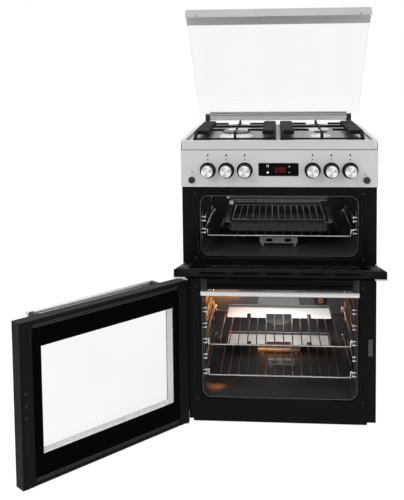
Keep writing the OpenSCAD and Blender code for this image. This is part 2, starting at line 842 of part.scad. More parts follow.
module main_oven_liner() {
    z = main_z + boss_up;
    color("slategray") difference() {
        union() {
            liner(main_w, main_h, main_z);
            rod_y(0, [oven_back - boss_out, oven_back + liner_t / 2], z, 2 * boss_r);
        }
        rod_y(0, [oven_back - boss_out - over, oven_back - boss_out / 2], z, 2 * (boss_r - boss_ring));
        rod_y(burner_feed_x, [oven_back - over, oven_back + liner_t + over], burner_mid_z,
            feed_d + tube_gap);
    }
}

// Wool round one liner
module wool_box(w, h, z) {
    near = liner_t + loose_gap;
    y0 = liner_y + liner_t + loose_gap;
    difference() {
        upright([-w / 2 - near - wool, w / 2 + near + wool], [y0, wool_back],
            [z - near - wool, z + h + near + wool], oven_r);
        upright([-w / 2 - near, w / 2 + near], [y0 - over, oven_back + near],
            [z - near, z + h + near], oven_r + near);
    }
}

module oven_insulation() {
    back = [oven_back, wool_back + over];
    color("khaki") union() {
        difference() {
            wool_box(top_w, top_h, top_z);
            rod_y(feed_x, back, grill_mid_z, feed_d + tube_gap);
        }
        difference() {
            wool_box(main_w, main_h, main_z);
            rod_y(burner_feed_x, back, burner_mid_z, feed_d + tube_gap);
        }
    }
}

module flue_duct() {
    y = [wool_back + seat_gap, cooker_d - seat_gap];
    z = [flue_z, flue_z + flue_h];
    color("silver") difference() {
        block([-flue_w / 2, flue_w / 2], y, z);
        block([-flue_w / 2 + sheet, flue_w / 2 - sheet], [y[0] - over, y[1] + over],
            [z[0] + sheet, z[1] - sheet]);
    }
}

// Wire rack on the right wall of an oven of inside width w, with a pair of rungs at each rail height
module side_rack(w, rung_x, zs) {
    post_x = w / 2 - post_d / 2 - loose_gap;
    link_d = rung_d * 4 / 5;
    low = rail_d / 2 + rung_d / 2 + loose_gap;
    high = rail_d / 2 + rung_d / 2 + 3 * loose_gap;
    posts = [side_y + post_front, oven_back - post_rear];
    union() {
        for (p = posts) rod_z(post_x, p, [zs[0] - post_over, zs[len(zs) - 1] + post_over], post_d);
        for (a = zs, b = [a - low, a + high]) {
            rod_y(rung_x, [posts[0] - rung_over, posts[1] + rung_over], b, rung_d);
            for (p = posts) rod_x([rung_x, post_x], p, b, link_d);
        }
    }
}

module oven_side_racks() {
    main_rails = [for (i = [-2:2]) upper_shelf_z + rail_up + i * level_main];
    top_rails = [for (i = [0:1]) grill_shelf_z + rail_up + i * level_top];
    color("silver") for (s = [0, 1]) mirror([s, 0, 0]) {
        side_rack(main_w, main_rail_x, main_rails);
        side_rack(top_w, grill_rail_x, top_rails);
    }
}

module grill_burner() {
    roof = top_z + top_h;
    z = [roof - grill_drop - grill_t, roof - grill_drop];
    x = grill_w / 2;
    y = [grill_y, grill_y + grill_d];
    color("gray") difference() {
        union() {
            block([-x, x], y, z);
            rod_x([-x, x], grill_y, z[0], grill_lip);
            for (a = [-x + stud_in, x - stud_in], b = [y[0] + stud_in, y[1] - stud_in])
                rod_z(a, b, [z[1] - over, roof - loose_gap], stud_d);
            rod_y(feed_x, [y[1] - over, wool_back], grill_mid_z, feed_d);
        }
        block([-x + grill_edge, x - grill_edge], [y[0] + grill_edge, y[1] - grill_edge],
            [z[0] - over, z[0] + grill_t / 3]);
    }
}

module main_burner() {
    y = oven_back - burner_back;
    x = burner_len / 2;
    color("silver") difference() {
        union() {
            rod_x([-x, x], y, burner_mid_z, burner_tube);
            rod_y(burner_feed_x, [y, wool_back], burner_mid_z, feed_d);
            for (a = [-x + saddle_in, x - saddle_in])
                block([a - saddle_w / 2, a + saddle_w / 2], [y - saddle_d / 2, y + saddle_d / 2],
                    [main_z + loose_gap, burner_mid_z]);
        }
        for (i = [0:port_n - 1]) rod_z(-x + (i + 0.5) * burner_len / port_n, y,
            [burner_mid_z + burner_tube / 4, burner_mid_z + burner_tube], port_d);
    }
}

// Plate of width w with two windows, on two short legs that stand on an oven floor at z
module floor_bracket(x, y, z, w) {
    low = z + stand_up;
    top = low + stand_h;
    left = x - w / 2;
    edge = (stand_h - stand_win) / 2;
    difference() {
        union() {
            block([left, left + w], [y, y + sheet], [low, top]);
            for (a = [left + stand_leg, left + w - 2 * stand_leg])
                block([a, a + stand_leg], [y, y + sheet], [z + loose_gap, low + over]);
            block([left, left + w], [y, y + stand_fold], [top - sheet, top]);
        }
        for (a = [x - w / 4, x + w / 4])
            block([a - stand_win_w / 2, a + stand_win_w / 2], [y - over, y + sheet + over],
                [low + edge, top - edge]);
    }
}

module floor_brackets() {
    color("darkgray") union() {
        floor_bracket(0, top_stand_y, top_z, top_stand_w);
        floor_bracket(main_stand_x, main_stand_y, main_z, main_stand_w);
    }
}

module oven_lamp() {
    z = main_z + lamp_up;
    color("orange") union() {
        rod_y(lamp_x, [oven_back - lamp_ring, oven_back - loose_gap], z, lamp_d);
        translate([lamp_x, oven_back - lamp_ring, z]) rotate([90, 0, 0])
            cylinder(d1 = lens_d, d2 = lens_d - lens_taper, h = lamp_out - lamp_ring);
    }
}

// Ring of gasket round an oven mouth
module gasket(w, h, z) {
    a = gasket_in;
    b = gasket_in + gasket_w;
    y = [door_in_y + loose_gap, frame_y];
    difference() {
        upright([-w / 2 - b, w / 2 + b], y, [z - b, z + h + b], oven_r + b);
        upright([-w / 2 - a, w / 2 + a], [y[0] - over, y[1] + over],
            [z - a, z + h + a], oven_r + a);
    }
}

module oven_gaskets() {
    color("dimgray") union() {
        gasket(top_w, top_h, top_z);
        gasket(main_w, main_h, main_z);
    }
}

// Hinge brackets

// Upright ear for the top door's pin, on the right flange
module top_lug() {
    x0 = door_w / 2 - inner_inset + ear_gap;
    difference() {
        block([x0, x0 + lug_t], [pivot_y - pin_d / 2 - sheet, side_y - seat_gap / 2],
            [top_pivot_z - ear_half, top_pivot_z + ear_half]);
        rod_x([x0 - over, x0 + lug_t + over], pivot_y, top_pivot_z, pin_d + 2 * run_gap);
    }
}

// Level ear for the main door's pin, with a riser on the left flange from the ear to z1
module main_lug(z, z1) {
    x = [-side_x, main_pivot_x + lug_past];
    y1 = side_y - seat_gap;
    difference() {
        union() {
            block(x, [pivot_y - pin_d, y1], [z, z + lug_t]);
            block(x, [y1 - sheet, y1], [min(z, z1), max(z, z1)]);
        }
        rod_z(main_pivot_x, pivot_y, [z - over, z + lug_t + over], pin_d + 2 * run_gap);
    }
}

module door_hinge_brackets() {
    color("gray") union() {
        for (s = [0, 1]) mirror([s, 0, 0]) top_lug();
        main_lug(main_door_top + lug_gap, main_door_top + lug_rise);
        main_lug(main_door_z - lug_gap - lug_t, side_z + lug_rise);
    }
}

// Hob

module hob_top() {
    x = cooker_w / 2;
    in_x = x - sheet;
    well = x - hob_rim;
    top = well_z - sheet;
    color("silver") difference() {
        flat([-x, x], [0, cooker_d + sheet], [apron_z, hob_z], hob_r);
        block([-in_x, in_x], [sheet, cooker_d], [apron_z - over, top]);
        flat([-well, well], [hob_rim, well_back], [well_z, hob_z + over], hob_r);
        for (b = burners) rod_z(b[0], b[1], [top - over, well_z + over],
            neck_d(b) + 2 * tube_gap);
    }
}

// Diameter of a burner's neck below the hob
function neck_d(b) = b[2] - 2 * neck_in;

module burner_bases() {
    color("silver") for (b = burners) translate([b[0], b[1], 0]) union() {
        rod_z(0, 0, [base_z, base_z + base_t], b[2]);
        rod_z(0, 0, [apron_z - neck_down, base_z + over], neck_d(b));
    }
}

module burner_crowns() {
    color("lightgray") for (b = burners) {
        r = b[2] / 2 - crown_in;
        n = round(2 * PI * r / flame_pitch);
        translate([b[0], b[1], crown_z]) difference() {
            cylinder(r = r, h = crown_h);
            translate([0, 0, crown_h / 4]) cylinder(r = r - crown_wall, h = crown_h);
            for (i = [0:n - 1]) rotate([0, 0, i * 360 / n])
                translate([r - crown_wall - over, -flame_slot / 2, crown_h / 2])
                    cube([crown_wall + 2 * over, flame_slot, crown_h]);
        }
    }
}

module burner_caps() {
    color("black") for (b = burners) {
        r = b[2] / 2 - crown_in - cap_in;
        translate([b[0], b[1], cap_z]) union() {
            cylinder(r = r, h = cap_t / 2);
            translate([0, 0, cap_t / 2]) cylinder(r1 = r, r2 = r - cap_t / 2, h = cap_t / 2);
        }
    }
}

module spark_electrodes() {
    grill_spark_d = 2 * spark_d;
    color("white") union() {
        for (b = burners) translate([b[0], b[1] - b[2] / 2 - spark_d / 2 - tube_gap, 0]) union() {
            rod_z(0, 0, [well_z + seat_gap, crown_z + 2 * over], spark_d);
            rod_z(0, 0, [crown_z + over, cap_z - over], spark_tip);
        }
        rod_y(-grill_w / 2 - grill_spark_d / 2 - tube_gap, [grill_y, grill_y + grill_spark], grill_mid_z,
            grill_spark_d);
    }
}

// Sloping leg of a pan support from the front bar at y up to the side plate, from x[0] to x[1]
module support_leg(x, y, low, top) {
    end = y + shoulder_in;
    translate([x[0], 0, 0]) rotate([90, 0, 90]) linear_extrude(x[1] - x[0]) polygon([[y, low],
        [y + leg_w, low], [end + leg_w, top - shoulder_t], [end + leg_w, top], [end, top],
        [y, low + support_bar_h]]);
}

// Cast grid over one pair of burners with the given base diameters, drawn for the right side
module pan_support(front_base, rear_base) {
    x = [support_gap / 2, support_gap / 2 + support_w];
    y = [support_y, support_y + support_d];
    top = hob_z + support_top;
    low = well_z + support_up;
    tip = [cap_z + cap_t + finger_gap, top];
    cut = support_bar / 2;
    mid = (burner_front + burner_rear) / 2;
    mid_y = support_y + support_d / 2;
    inner = [x[0] + shoulder_w - over, x[1] - shoulder_w + over];
    front_end = burner_front - front_base / 2 - finger_step;
    rear_end = burner_rear + rear_base / 2 + finger_step;
    union() {
        for (p = [y[0], y[1] - support_bar]) block(x, [p, p + support_bar], [low, low + support_bar_h]);
        for (p = [x[0] + leg_w / 2, x[1] - leg_w / 2], q = [y[0] + leg_w / 2, y[1] - leg_w / 2])
            rod_z(p, q, [well_z + seat_gap, low + over], support_foot);
        for (p = [[x[0], x[0] + leg_w], [x[1] - leg_w, x[1]]], s = [0, 1])
            translate([0, mid_y, 0]) mirror([0, s, 0]) translate([0, -mid_y, 0])
                support_leg(p, y[0], low, top);
        for (p = [[x[0], x[0] + shoulder_w], [x[1] - shoulder_w, x[1]]])
            flat(p, [y[0] + shoulder_in, y[1] - shoulder_in], [top - shoulder_t, top], support_r);
        for (b = [burner_front, burner_rear]) {
            block([inner[0], burner_x - finger_clear], [b - cut, b + cut], tip);
            block([burner_x + finger_clear, inner[1]], [b - cut, b + cut], tip);
        }
        block(inner, [mid - cut, mid + cut], tip);
        translate([burner_x - cut, 0, 0]) {
            block([0, support_bar], [y[0], front_end], [low, top]);
            block([0, support_bar], [rear_end, y[1]], [low, top]);
            block([0, support_bar], [front_end - over, burner_front - finger_clear], tip);
            block([0, support_bar], [burner_front + finger_clear, burner_rear - finger_clear], tip);
            block([0, support_bar], [burner_rear + finger_clear, rear_end + over], tip);
        }
    }
}

module pan_support_left() {
    color("black") mirror([1, 0, 0]) pan_support(base_large, base_medium);
}

module pan_support_right() { color("black") pan_support(base_small, base_medium); }

// Gas parts, from the rail to the burners

// Pipe from a tap back, down or up to z, across to x and on to y
module oven_pipe(tap_x, x, z) {
    union() {
        rod_y(tap_x, [tap_back, pipe_y], knob_z, pipe_d);
        rod_z(tap_x, pipe_y, [z, knob_z], pipe_d);
        rod_x([min(tap_x, x), max(tap_x, x)], pipe_y, z, pipe_d);
        for (e = [[tap_x, knob_z], [tap_x, z], [x, z]])
            translate([e[0], pipe_y, e[1]]) sphere(d = pipe_d);
        rod_y(x, [wool_back + seat_gap, pipe_y], z, pipe_d);
    }
}

module gas_pipework() {
    color("goldenrod") union() {
        rod_x([knob_xs[0] - tap_w / 2, inlet_x], gas_rail_y, gas_rail_z, gas_rail_d);
        rod_y(inlet_x, [gas_rail_y, cooker_d - inlet_back], gas_rail_z, inlet_pipe);
        for (p = hob_pipes) {
            b = p[1];
            rod_y(p[0], [tap_back, b[1]], knob_z, pipe_d);
            rod_x([min(p[0], b[0]), max(p[0], b[0])], b[1], knob_z, pipe_d);
            rod_z(b[0], b[1], [knob_z, apron_z - neck_down - seat_gap], pipe_d);
            for (x = [p[0], b[0]]) translate([x, b[1], knob_z]) sphere(d = pipe_d);
        }
        oven_pipe(knob_xs[0], feed_x, grill_mid_z);
        oven_pipe(knob_xs[5], burner_feed_x, burner_mid_z);
    }
}

module gas_taps() {
    y = [tap_y, tap_back - seat_gap];
    color("goldenrod") for (x = knob_xs) difference() {
        union() {
            block([x - tap_w / 2, x + tap_w / 2], [y[0] + tap_nose, y[1]],
                [knob_z - tap_h / 2, knob_z + tap_h / 2]);
            rod_y(x, [y[0], y[0] + tap_nose + over], knob_z, tap_nose_d);
        }
        rod_y(x, [y[0] - over, tap_bore_end], knob_z, spindle_d + 2 * run_gap);
    }
}

module gas_inlet() {
    y0 = cooker_d - inlet_back + seat_gap;
    color("goldenrod") union() {
        rod_y(inlet_x, [y0, cooker_d + sheet + inlet_len], gas_rail_z, 2 * inlet_r);
        translate([inlet_x, y0, gas_rail_z]) rotate([-90, 0, 0])
            cylinder(d = inlet_hex, h = inlet_hex_d, $fn = 6);
    }
}

module cable_gland() {
    y1 = cooker_d + sheet;
    box_y = [cooker_d - terminal_gap - terminal_d, cooker_d - terminal_gap];
    color("black") difference() {
        union() {
            rod_y(gland_x, [y1 + seat_gap, y1 + gland_len], gland_z, gland_neck_d + 2 * gland_collar);
            rod_y(gland_x, [box_y[1] - over, y1 + gland_len], gland_z, gland_neck_d);
            block([gland_x - terminal_w / 2, gland_x + terminal_w / 2], box_y,
                [gland_z - terminal_h / 2, gland_z + terminal_h / 2]);
        }
        rod_y(gland_x, [box_y[0] + terminal_d / 3, y1 + gland_len + over], gland_z, 2 * gland_r);
    }
}

// Ignition unit on the left side panel, with a foot that reaches down behind its push button
module ignition_box() {
    x0 = -side_x + sheet + seat_gap;
    x1 = knob_xs[0] - tap_w / 2 - spark_gap;
    y0 = button_back + over;
    z0 = knob_z - button_d / 4;
    half = button_d / 2;
    color("whitesmoke") union() {
        block([x0, x1], [y0, y0 + spark_box_d], [z0, z0 + spark_box_h]);
        block([-button_x - half, -button_x + half], [y0, y0 + spark_box_d / 3],
            [button_z - half, z0 + over]);
    }
}

// Control panel

module control_panel() {
    x = cooker_w / 2;
    z = [panel_z, apron_z - seat_gap];
    y1 = side_y - seat_gap;
    cut = [-over, sheet + over];
    color("lightgray") difference() {
        block([-x, x], [0, y1], z);
        block([-x + sheet, x - sheet], [sheet, y1 + over], [z[0] + sheet, z[1] - sheet]);
        for (k = knob_xs) rod_y(k, cut, knob_z, spindle_d + 4 * bezel_gap);
        for (s = [-1, 1]) rod_y(s * button_x, cut, button_z, button_d + 2 * loose_gap);
        block([-timer_w / 2 + timer_lap, timer_w / 2 - timer_lap], cut,
            [knob_z + timer_up - timer_h / 2 + timer_lap, knob_z + timer_up + timer_h / 2 - timer_lap]);
    }
}

module timer_display() {
    z = knob_z + timer_up;
    inset = timer_lap + loose_gap;
    color("black") union() {
        upright([-timer_w / 2, timer_w / 2], [-timer_t - seat_gap, -seat_gap],
            [z - timer_h / 2, z + timer_h / 2], pane_r);
        block([-timer_w / 2 + inset, timer_w / 2 - inset], [-seat_gap - timer_t / 2, timer_d],
            [z - timer_h / 2 + inset, z + timer_h / 2 - inset]);
    }
}

module knob_bezels() {
    color("dimgray") for (x = knob_xs) translate([x, -seat_gap, knob_z]) rotate([90, 0, 0])
        rotate_extrude() polygon([[knob_d / 2 + bezel_gap, 0], [bezel_d / 2, 0],
            [bezel_d / 2, bezel_out - bezel_bevel], [bezel_d / 2 - bezel_bevel, bezel_out],
            [knob_d / 2 + bezel_gap, bezel_out]]);
}

// Knob and its tap spindle, about the Y axis through x
module knob(x) {
    r = knob_d / 2;
    back = 3 * seat_gap;
    tip = tap_bore_end - loose_gap;
    face = r - knob_bevel;
    color("silver") translate([x, 0, knob_z]) rotate([90, 0, 0]) union() {
        difference() {
            rotate_extrude() polygon([[0, back], [r, back], [r, knob_out - 2 * knob_bevel],
                [r - knob_bevel / 2, knob_out - knob_bevel / 2], [face, knob_out],
                [face - knob_rim, knob_out], [face - knob_rim, knob_out - knob_dish],
                [0, knob_out - knob_dish]]);
            translate([0, 0, -over]) cylinder(d = spindle_d + 2 * run_gap, h = knob_out / 2 + over);
            translate([0, face - pointer_len / 2, knob_out]) cube([pointer_w, pointer_len,
                knob_dish], center = true);
        }
        translate([0, 0, -tip]) cylinder(d = spindle_d, h = tip + knob_out / 2 - loose_gap);
    }
}

module knob_top_oven() { knob(knob_xs[0]); }

module knob_front_left() { knob(knob_xs[1]); }

module knob_rear_left() { knob(knob_xs[2]); }

module knob_rear_right() { knob(knob_xs[3]); }

module knob_front_right() { knob(knob_xs[4]); }

module knob_main_oven() { knob(knob_xs[5]); }

// Push button at x, whose stem ends short of its switch by the travel
module button(x) {
    stem = button_back - button_travel;
    color("dimgray") translate([x, 0, button_z]) rotate([90, 0, 0]) union() {
        translate([0, 0, -stem]) cylinder(d = button_d - 2 * stem_in, h = stem);
        translate([0, 0, -sheet]) cylinder(d = button_d, h = sheet + button_out - button_bevel);
        translate([0, 0, button_out - button_bevel])
            cylinder(d1 = button_d, d2 = button_d - 2 * button_bevel, h = button_bevel);
    }
}

module ignition_button() { button(-button_x); }

module lamp_button() { button(button_x); }

// Top oven door, drawn shut and turned by its pose

module top_door_pose() {
    translate([0, pivot_y, top_pivot_z]) rotate([top_door_open, 0, 0])
        translate([0, -pivot_y, -top_pivot_z]) children();
}

// Sheet tray of a door between the outer glass and the inner face, with its window
module door_tray(x, y, z) {
    m = door_margin + pane_lap;
    difference() {
        block(x, y, z);
        block([x[0] + sheet, x[1] - sheet], [y[0] - over, y[1] - sheet],
            [z[0] + sheet, z[1] - sheet]);
        upright([x[0] + door_margin, x[1] - door_margin], [y[0], y[1] + over],
            [z[0] + m, z[1] - m], pane_r);
    }
}

module top_door_frame() {
    x = door_w / 2 - inner_inset;
    glass_y = top_out_y + pane_t + seat_gap;
    slot_y = [door_in_y - door_slot_in - door_slot_w, door_in_y - door_slot_in];
    pin_len = ear_gap + lug_t;
    color("black") top_door_pose() difference() {
        union() {
            door_tray([-x, x], [glass_y, door_in_y], [top_door_z, top_door_top]);
            for (s = [0, 1]) mirror([s, 0, 0])
                rod_x([x - sheet, x + pin_len], pivot_y, top_pivot_z, pin_d);
        }
        for (i = [-2:2]) translate([i * door_slot_pitch, 0, 0])
            block([-door_slot / 2, door_slot / 2], slot_y,
                [top_door_top - sheet - over, top_door_top + over]);
    }
}

module top_door_outer_glass() {
    color("black") top_door_pose() upright([-door_w / 2, door_w / 2],
        [top_out_y, top_out_y + pane_t], [top_door_z, top_door_top], pane_r);
}

// Inner pane of a door, behind the tray's window
module inner_pane(x, z) {
    m = door_margin + pane_lap;
    y1 = door_in_y - sheet - seat_gap;
    color([0.2, 0.2, 0.2, 0.6])
        upright([x[0] + door_margin - pane_lap, x[1] - door_margin + pane_lap],
            [y1 - pane_t, y1], [z[0] + m - pane_lap, z[1] - m + pane_lap], pane_r);
}

module top_door_inner_glass() {
    x = door_w / 2 - inner_inset;
    top_door_pose() inner_pane([-x, x], [top_door_z, top_door_top]);
}

// Handle bar in front of an outer glass at y and height z
module handle_bar(y, z) {
    color("silver") rod_x([-handle_len / 2, handle_len / 2], y - handle_out, z, handle_d);
}

// The two end brackets of a handle bar
module handle_feet(y, z) {
    y1 = y - handle_out + handle_d / 2 + seat_gap;
    color("black") for (s = [0, 1]) mirror([s, 0, 0])
        upright([handle_len / 2 - bracket_w, handle_len / 2], [y1, y - seat_gap],
            [z - bracket_h / 2, z + bracket_h / 2], pane_r);
}

module top_door_handle() {
    top_door_pose() handle_bar(top_out_y, top_door_top - top_handle_drop);
}

module top_door_brackets() {
    top_door_pose() handle_feet(top_out_y, top_door_top - top_handle_drop);
}

// Main oven door, drawn shut and turned by its pose

module main_door_pose() {
    translate([main_pivot_x, pivot_y, 0]) rotate([0, 0, -main_door_open])
        translate([-main_pivot_x, -pivot_y, 0]) children();
}

module main_door_frame() {
    x = door_w / 2;
    glass_y = main_out_y + pane_t + seat_gap;
    long = lug_gap + lug_t;
    color("black") main_door_pose() union() {
        door_tray([-x, x], [glass_y, door_in_y], [main_door_z, main_door_top]);
        rod_z(main_pivot_x, pivot_y, [main_door_top - sheet, main_door_top + long], pin_d);
        rod_z(main_pivot_x, pivot_y, [main_door_z - long, main_door_z + sheet], pin_d);
    }
}

module main_door_outer_glass() {
    color("black") main_door_pose() upright([-door_w / 2, door_w / 2],
        [main_out_y, main_out_y + pane_t], [main_door_z, main_door_top], pane_r);
}

module main_door_inner_glass() {
    main_door_pose() inner_pane([-door_w / 2, door_w / 2], [main_door_z, main_door_top]);
}

module main_door_handle() {
    main_door_pose() handle_bar(main_out_y, main_door_top - main_handle_drop);
}

module main_door_brackets() {
    main_door_pose() handle_feet(main_out_y, main_door_top - main_handle_drop);
}

// Lid, drawn shut and turned by its pose

module lid_pose() {
    translate([0, lid_y, lid_z]) rotate([-lid_open, 0, 0]) translate([0, -lid_y, -lid_z]) children();
}

module lid_glass() {
    color([0.95, 0.96, 0.97, 0.5]) lid_pose()
        flat([-lid_w / 2, lid_w / 2], [lid_y - lid_len + trim_d - trim_lap, lid_y - glass_near],
            [lid_z - lid_t / 2, lid_z + lid_t / 2], lid_r);
}

// Channel along the glass's free edge with a lip that hangs at the front
module lid_front_trim() {
    t = trim_t;
    gap = lid_t / 2 + seat_gap;
    y = [lid_y - lid_len, lid_y - lid_len + trim_d];
    x = trim_w / 2;
    color("silver") lid_pose() difference() {
        union() {
            block([-x, x], y, [lid_z - gap - t, lid_z + gap + t]);
            block([-x, x], [y[0], y[0] + t], [lid_z - gap - t - trim_lip, lid_z]);
            for (s = [0, 1]) mirror([s, 0, 0]) block([x - t, x], [y[0], y[0] + trim_lip / 2],
                [lid_z - gap - t - trim_lip / 2, lid_z]);
        }
        block([-x + t, x - t], [y[0] + t, y[1] + over], [lid_z - gap, lid_z + gap]);
    }
}

// Bar with a slotted clamp for the glass and a pin at each end
module lid_hinge_bar() {
    x = hinge_bar_len / 2;
    gap = lid_t / 2 + seat_gap;
    color("silver") lid_pose() union() {
        difference() {
            union() {
                block([-x, x], [lid_y - hinge_bar_w / 2, lid_y + hinge_bar_w / 2],
                    [lid_z - hinge_bar_h / 2, lid_z + hinge_bar_h / 2]);
                block([-x, x], [lid_y - clamp_d, lid_y], [lid_z - clamp_t / 2, lid_z + clamp_t / 2]);
            }
            block([-x - over, x + over], [lid_y - clamp_d - over, lid_y - glass_near + seat_gap],
                [lid_z - gap, lid_z + gap]);
        }
        rod_x([-x - block_w, x + block_w], lid_y, lid_z, lid_pin);
    }
}

module lid_hinge_blocks() {
    x0 = hinge_bar_len / 2 + loose_gap;
    y = [lid_y - hinge_half, lid_y + hinge_half];
    low = hob_z + seat_gap;
    color("black") for (s = [0, 1]) mirror([s, 0, 0]) difference() {
        union() {
            block([x0, x0 + block_w], y, [low, lid_z]);
            rod_x([x0, x0 + block_w], lid_y, lid_z, 2 * hinge_half);
        }
        rod_x([x0 - over, x0 + block_w + over], lid_y, lid_z, lid_pin + 2 * run_gap);
    }
}

// Shelves and the grill pan

// Wire grid whose bars lie at z, between two side frames whose rails slide at x
module shelf(x, z) {
    in_x = x - (rung_d + wire_d) / 2 - 2 * loose_gap;
    grid_x = in_x - wire_d / 2 - seat_gap;
    y = [shelf_y, shelf_y + shelf_d];
    first = -(bar_n - 1) / 2 * bar_pitch;
    wire = z - wire_z;
    rail = z + rail_up;
    for (s = [0, 1]) mirror([s, 0, 0]) union() {
        rod_y(x, y, rail, rail_d);
        for (p = y) {
            rod_z(in_x, p, [wire, rail], wire_d);
            rod_x([in_x, x], p, rail, wire_d);
            translate([in_x, p, wire]) sphere(d = wire_d);
            translate([in_x, p, rail]) sphere(d = wire_d);
            translate([x, p, rail]) sphere(d = rail_d);
        }
    }
    union() {
        for (p = y) rod_x([-grid_x, grid_x], p, wire, wire_d);
        for (i = [0:bar_n - 1]) rod_y(first + i * bar_pitch, y, z, bar_d);
    }
}

// Flat plate on the rear of a shelf, with its notches and a rear lip
module deflector(z) {
    low = z + bar_d / 2 + seat_gap;
    y = [oven_back - plate_back - plate_d, oven_back - plate_back];
    x = plate_w / 2;
    cut_z = [low - over, low + plate_t + over];
    small = small_notch_w / 2;
    difference() {
        union() {
            block([-x, x], y, [low, low + plate_t]);
            block([-x, x], [y[1] - plate_t, y[1]], [low, low + plate_lip]);
        }
        block([-notch_w / 2, notch_w / 2], [y[0] - over, y[0] + notch_d], cut_z);
        for (a = [-small_notch_x, small_notch_x])
            block([a - small, a + small], [y[0] - over, y[0] + notch_d], cut_z);
    }
}

module grill_shelf() { color("silver") shelf(grill_rail_x, grill_shelf_z); }

module upper_shelf() {
    color("silver") union() {
        shelf(main_rail_x, upper_shelf_z);
        deflector(upper_shelf_z);
    }
}

module lower_shelf() {
    color("silver") union() {
        shelf(main_rail_x, lower_shelf_z);
        deflector(lower_shelf_z);
    }
}

module grill_pan() {
    x = pan_w / 2;
    y = [pan_y, pan_y + pan_d];
    z = [pan_z, pan_z + pan_h];
    w = pan_wall;
    rim = pan_rim;
    color("slategray") difference() {
        union() {
            flat([-x, x], y, z, pan_r);
            flat([-x - rim, x + rim], [y[0] - rim / 4, y[1] + rim / 4], [z[1] - w, z[1]], pan_r);
        }
        flat([-x + w, x - w], [y[0] + w, y[1] - w], [z[0] + w, z[1] + over], pan_r - w);
    }
}

// Wire grid on four legs with an upright handle at the rear
module grill_trivet() {
    in = pan_wall + trivet_in;
    x = pan_w / 2 - in;
    y = [pan_y + in, pan_y + pan_d - in];
    z = pan_z + pan_wall + trivet_up;
    d = trivet_wire;
    off = d / 2 + seat_gap;
    handle = z + trivet_handle;
    n = floor((2 * x - d) / trivet_pitch / 2);
    color("silver") {
        union() {
            for (p = y) rod_x([-x, x], p, z, d);
            for (s = [-1, 1]) rod_y(s * x, y, z, d);
            for (i = [-n:n]) rod_y(i * trivet_pitch, y, z, d * 3 / 4);
            for (a = [-x, x], p = y) translate([a, p, z]) sphere(d = d);
        }
        for (a = [-x, x], p = y) rod_z(a, p, [pan_z + pan_wall + loose_gap, z - off], d);
        union() {
            rod_x([-x, x], y[1], handle, d);
            for (a = [-x, x]) {
                rod_z(a, y[1], [z + off, handle], d);
                translate([a, y[1], handle]) sphere(d = d);
            }
        }
    }
}

side_panel_left();
side_panel_right();
rear_cover();
base_tray();
adjustable_feet();
front_frame();
catch_plate();
top_oven_liner();
main_oven_liner();
oven_insulation();
flue_duct();
oven_side_racks();
grill_burner();
main_burner();
floor_brackets();
oven_lamp();
oven_gaskets();
door_hinge_brackets();
hob_top();
burner_bases();
burner_crowns();
burner_caps();
spark_electrodes();
pan_support_left();
pan_support_right();
gas_pipework();
gas_taps();
gas_inlet();
cable_gland();
ignition_box();
control_panel();
timer_display();
knob_bezels();
knob_top_oven();
knob_front_left();
knob_rear_left();
knob_rear_right();
knob_front_right();
knob_main_oven();
ignition_button();
lamp_button();
top_door_frame();
top_door_outer_glass();
top_door_inner_glass();
top_door_handle();
top_door_brackets();
main_door_frame();
main_door_outer_glass();
main_door_inner_glass();
main_door_handle();
main_door_brackets();
lid_glass();
lid_front_trim();
lid_hinge_bar();
lid_hinge_blocks();
grill_shelf();
grill_pan();
grill_trivet();
upper_shelf();
lower_shelf();
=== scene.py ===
import bpy
import json
import math
from mathutils import Matrix, Vector

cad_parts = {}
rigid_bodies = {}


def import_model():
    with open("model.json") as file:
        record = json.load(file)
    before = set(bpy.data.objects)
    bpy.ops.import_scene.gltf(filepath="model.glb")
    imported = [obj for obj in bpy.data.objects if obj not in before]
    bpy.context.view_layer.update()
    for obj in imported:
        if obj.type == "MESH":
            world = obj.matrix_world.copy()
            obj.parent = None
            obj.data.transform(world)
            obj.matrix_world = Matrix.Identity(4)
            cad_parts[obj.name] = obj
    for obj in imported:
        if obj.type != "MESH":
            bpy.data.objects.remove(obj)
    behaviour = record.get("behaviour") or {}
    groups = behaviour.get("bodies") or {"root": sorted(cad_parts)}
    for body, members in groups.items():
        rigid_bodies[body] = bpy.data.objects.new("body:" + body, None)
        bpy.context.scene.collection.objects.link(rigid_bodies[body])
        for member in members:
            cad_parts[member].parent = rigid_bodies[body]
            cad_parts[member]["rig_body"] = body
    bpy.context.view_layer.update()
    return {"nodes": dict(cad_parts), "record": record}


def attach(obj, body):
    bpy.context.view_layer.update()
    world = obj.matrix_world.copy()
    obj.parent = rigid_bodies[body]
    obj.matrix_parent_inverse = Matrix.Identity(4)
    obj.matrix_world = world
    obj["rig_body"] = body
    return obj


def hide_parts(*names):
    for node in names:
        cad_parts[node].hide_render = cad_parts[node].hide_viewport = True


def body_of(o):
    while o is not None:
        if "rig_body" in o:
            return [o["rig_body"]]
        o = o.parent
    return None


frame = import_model()
nodes = frame["nodes"]
mm = 0.001
print("frame loaded")


# small helpers for modelling by hand

def deselectAll():
    for obj in bpy.context.selected_objects:
        obj.select_set(False)


def makeActive(obj):
    deselectAll()
    obj.select_set(True)
    bpy.context.view_layer.objects.active = obj


def inMetres(values):
    return tuple(v * mm for v in values)


def bakePlace(obj):
    # the object goes to the origin and its place into its mesh
    makeActive(obj)
    bpy.ops.object.transform_apply(location=True, rotation=True, scale=True)
    return obj


def named(obj, name):
    obj.name = name
    obj.data.name = name
    return obj


def addBlock(name, low, high):
    # block between two corners, in millimetres
    middle = [(a + b) / 2 for a, b in zip(low, high)]
    deselectAll()
    bpy.ops.mesh.primitive_cube_add(size=1, location=inMetres(middle))
    obj = named(bpy.context.object, name)
    obj.scale = inMetres([b - a for a, b in zip(low, high)])
    return bakePlace(obj)


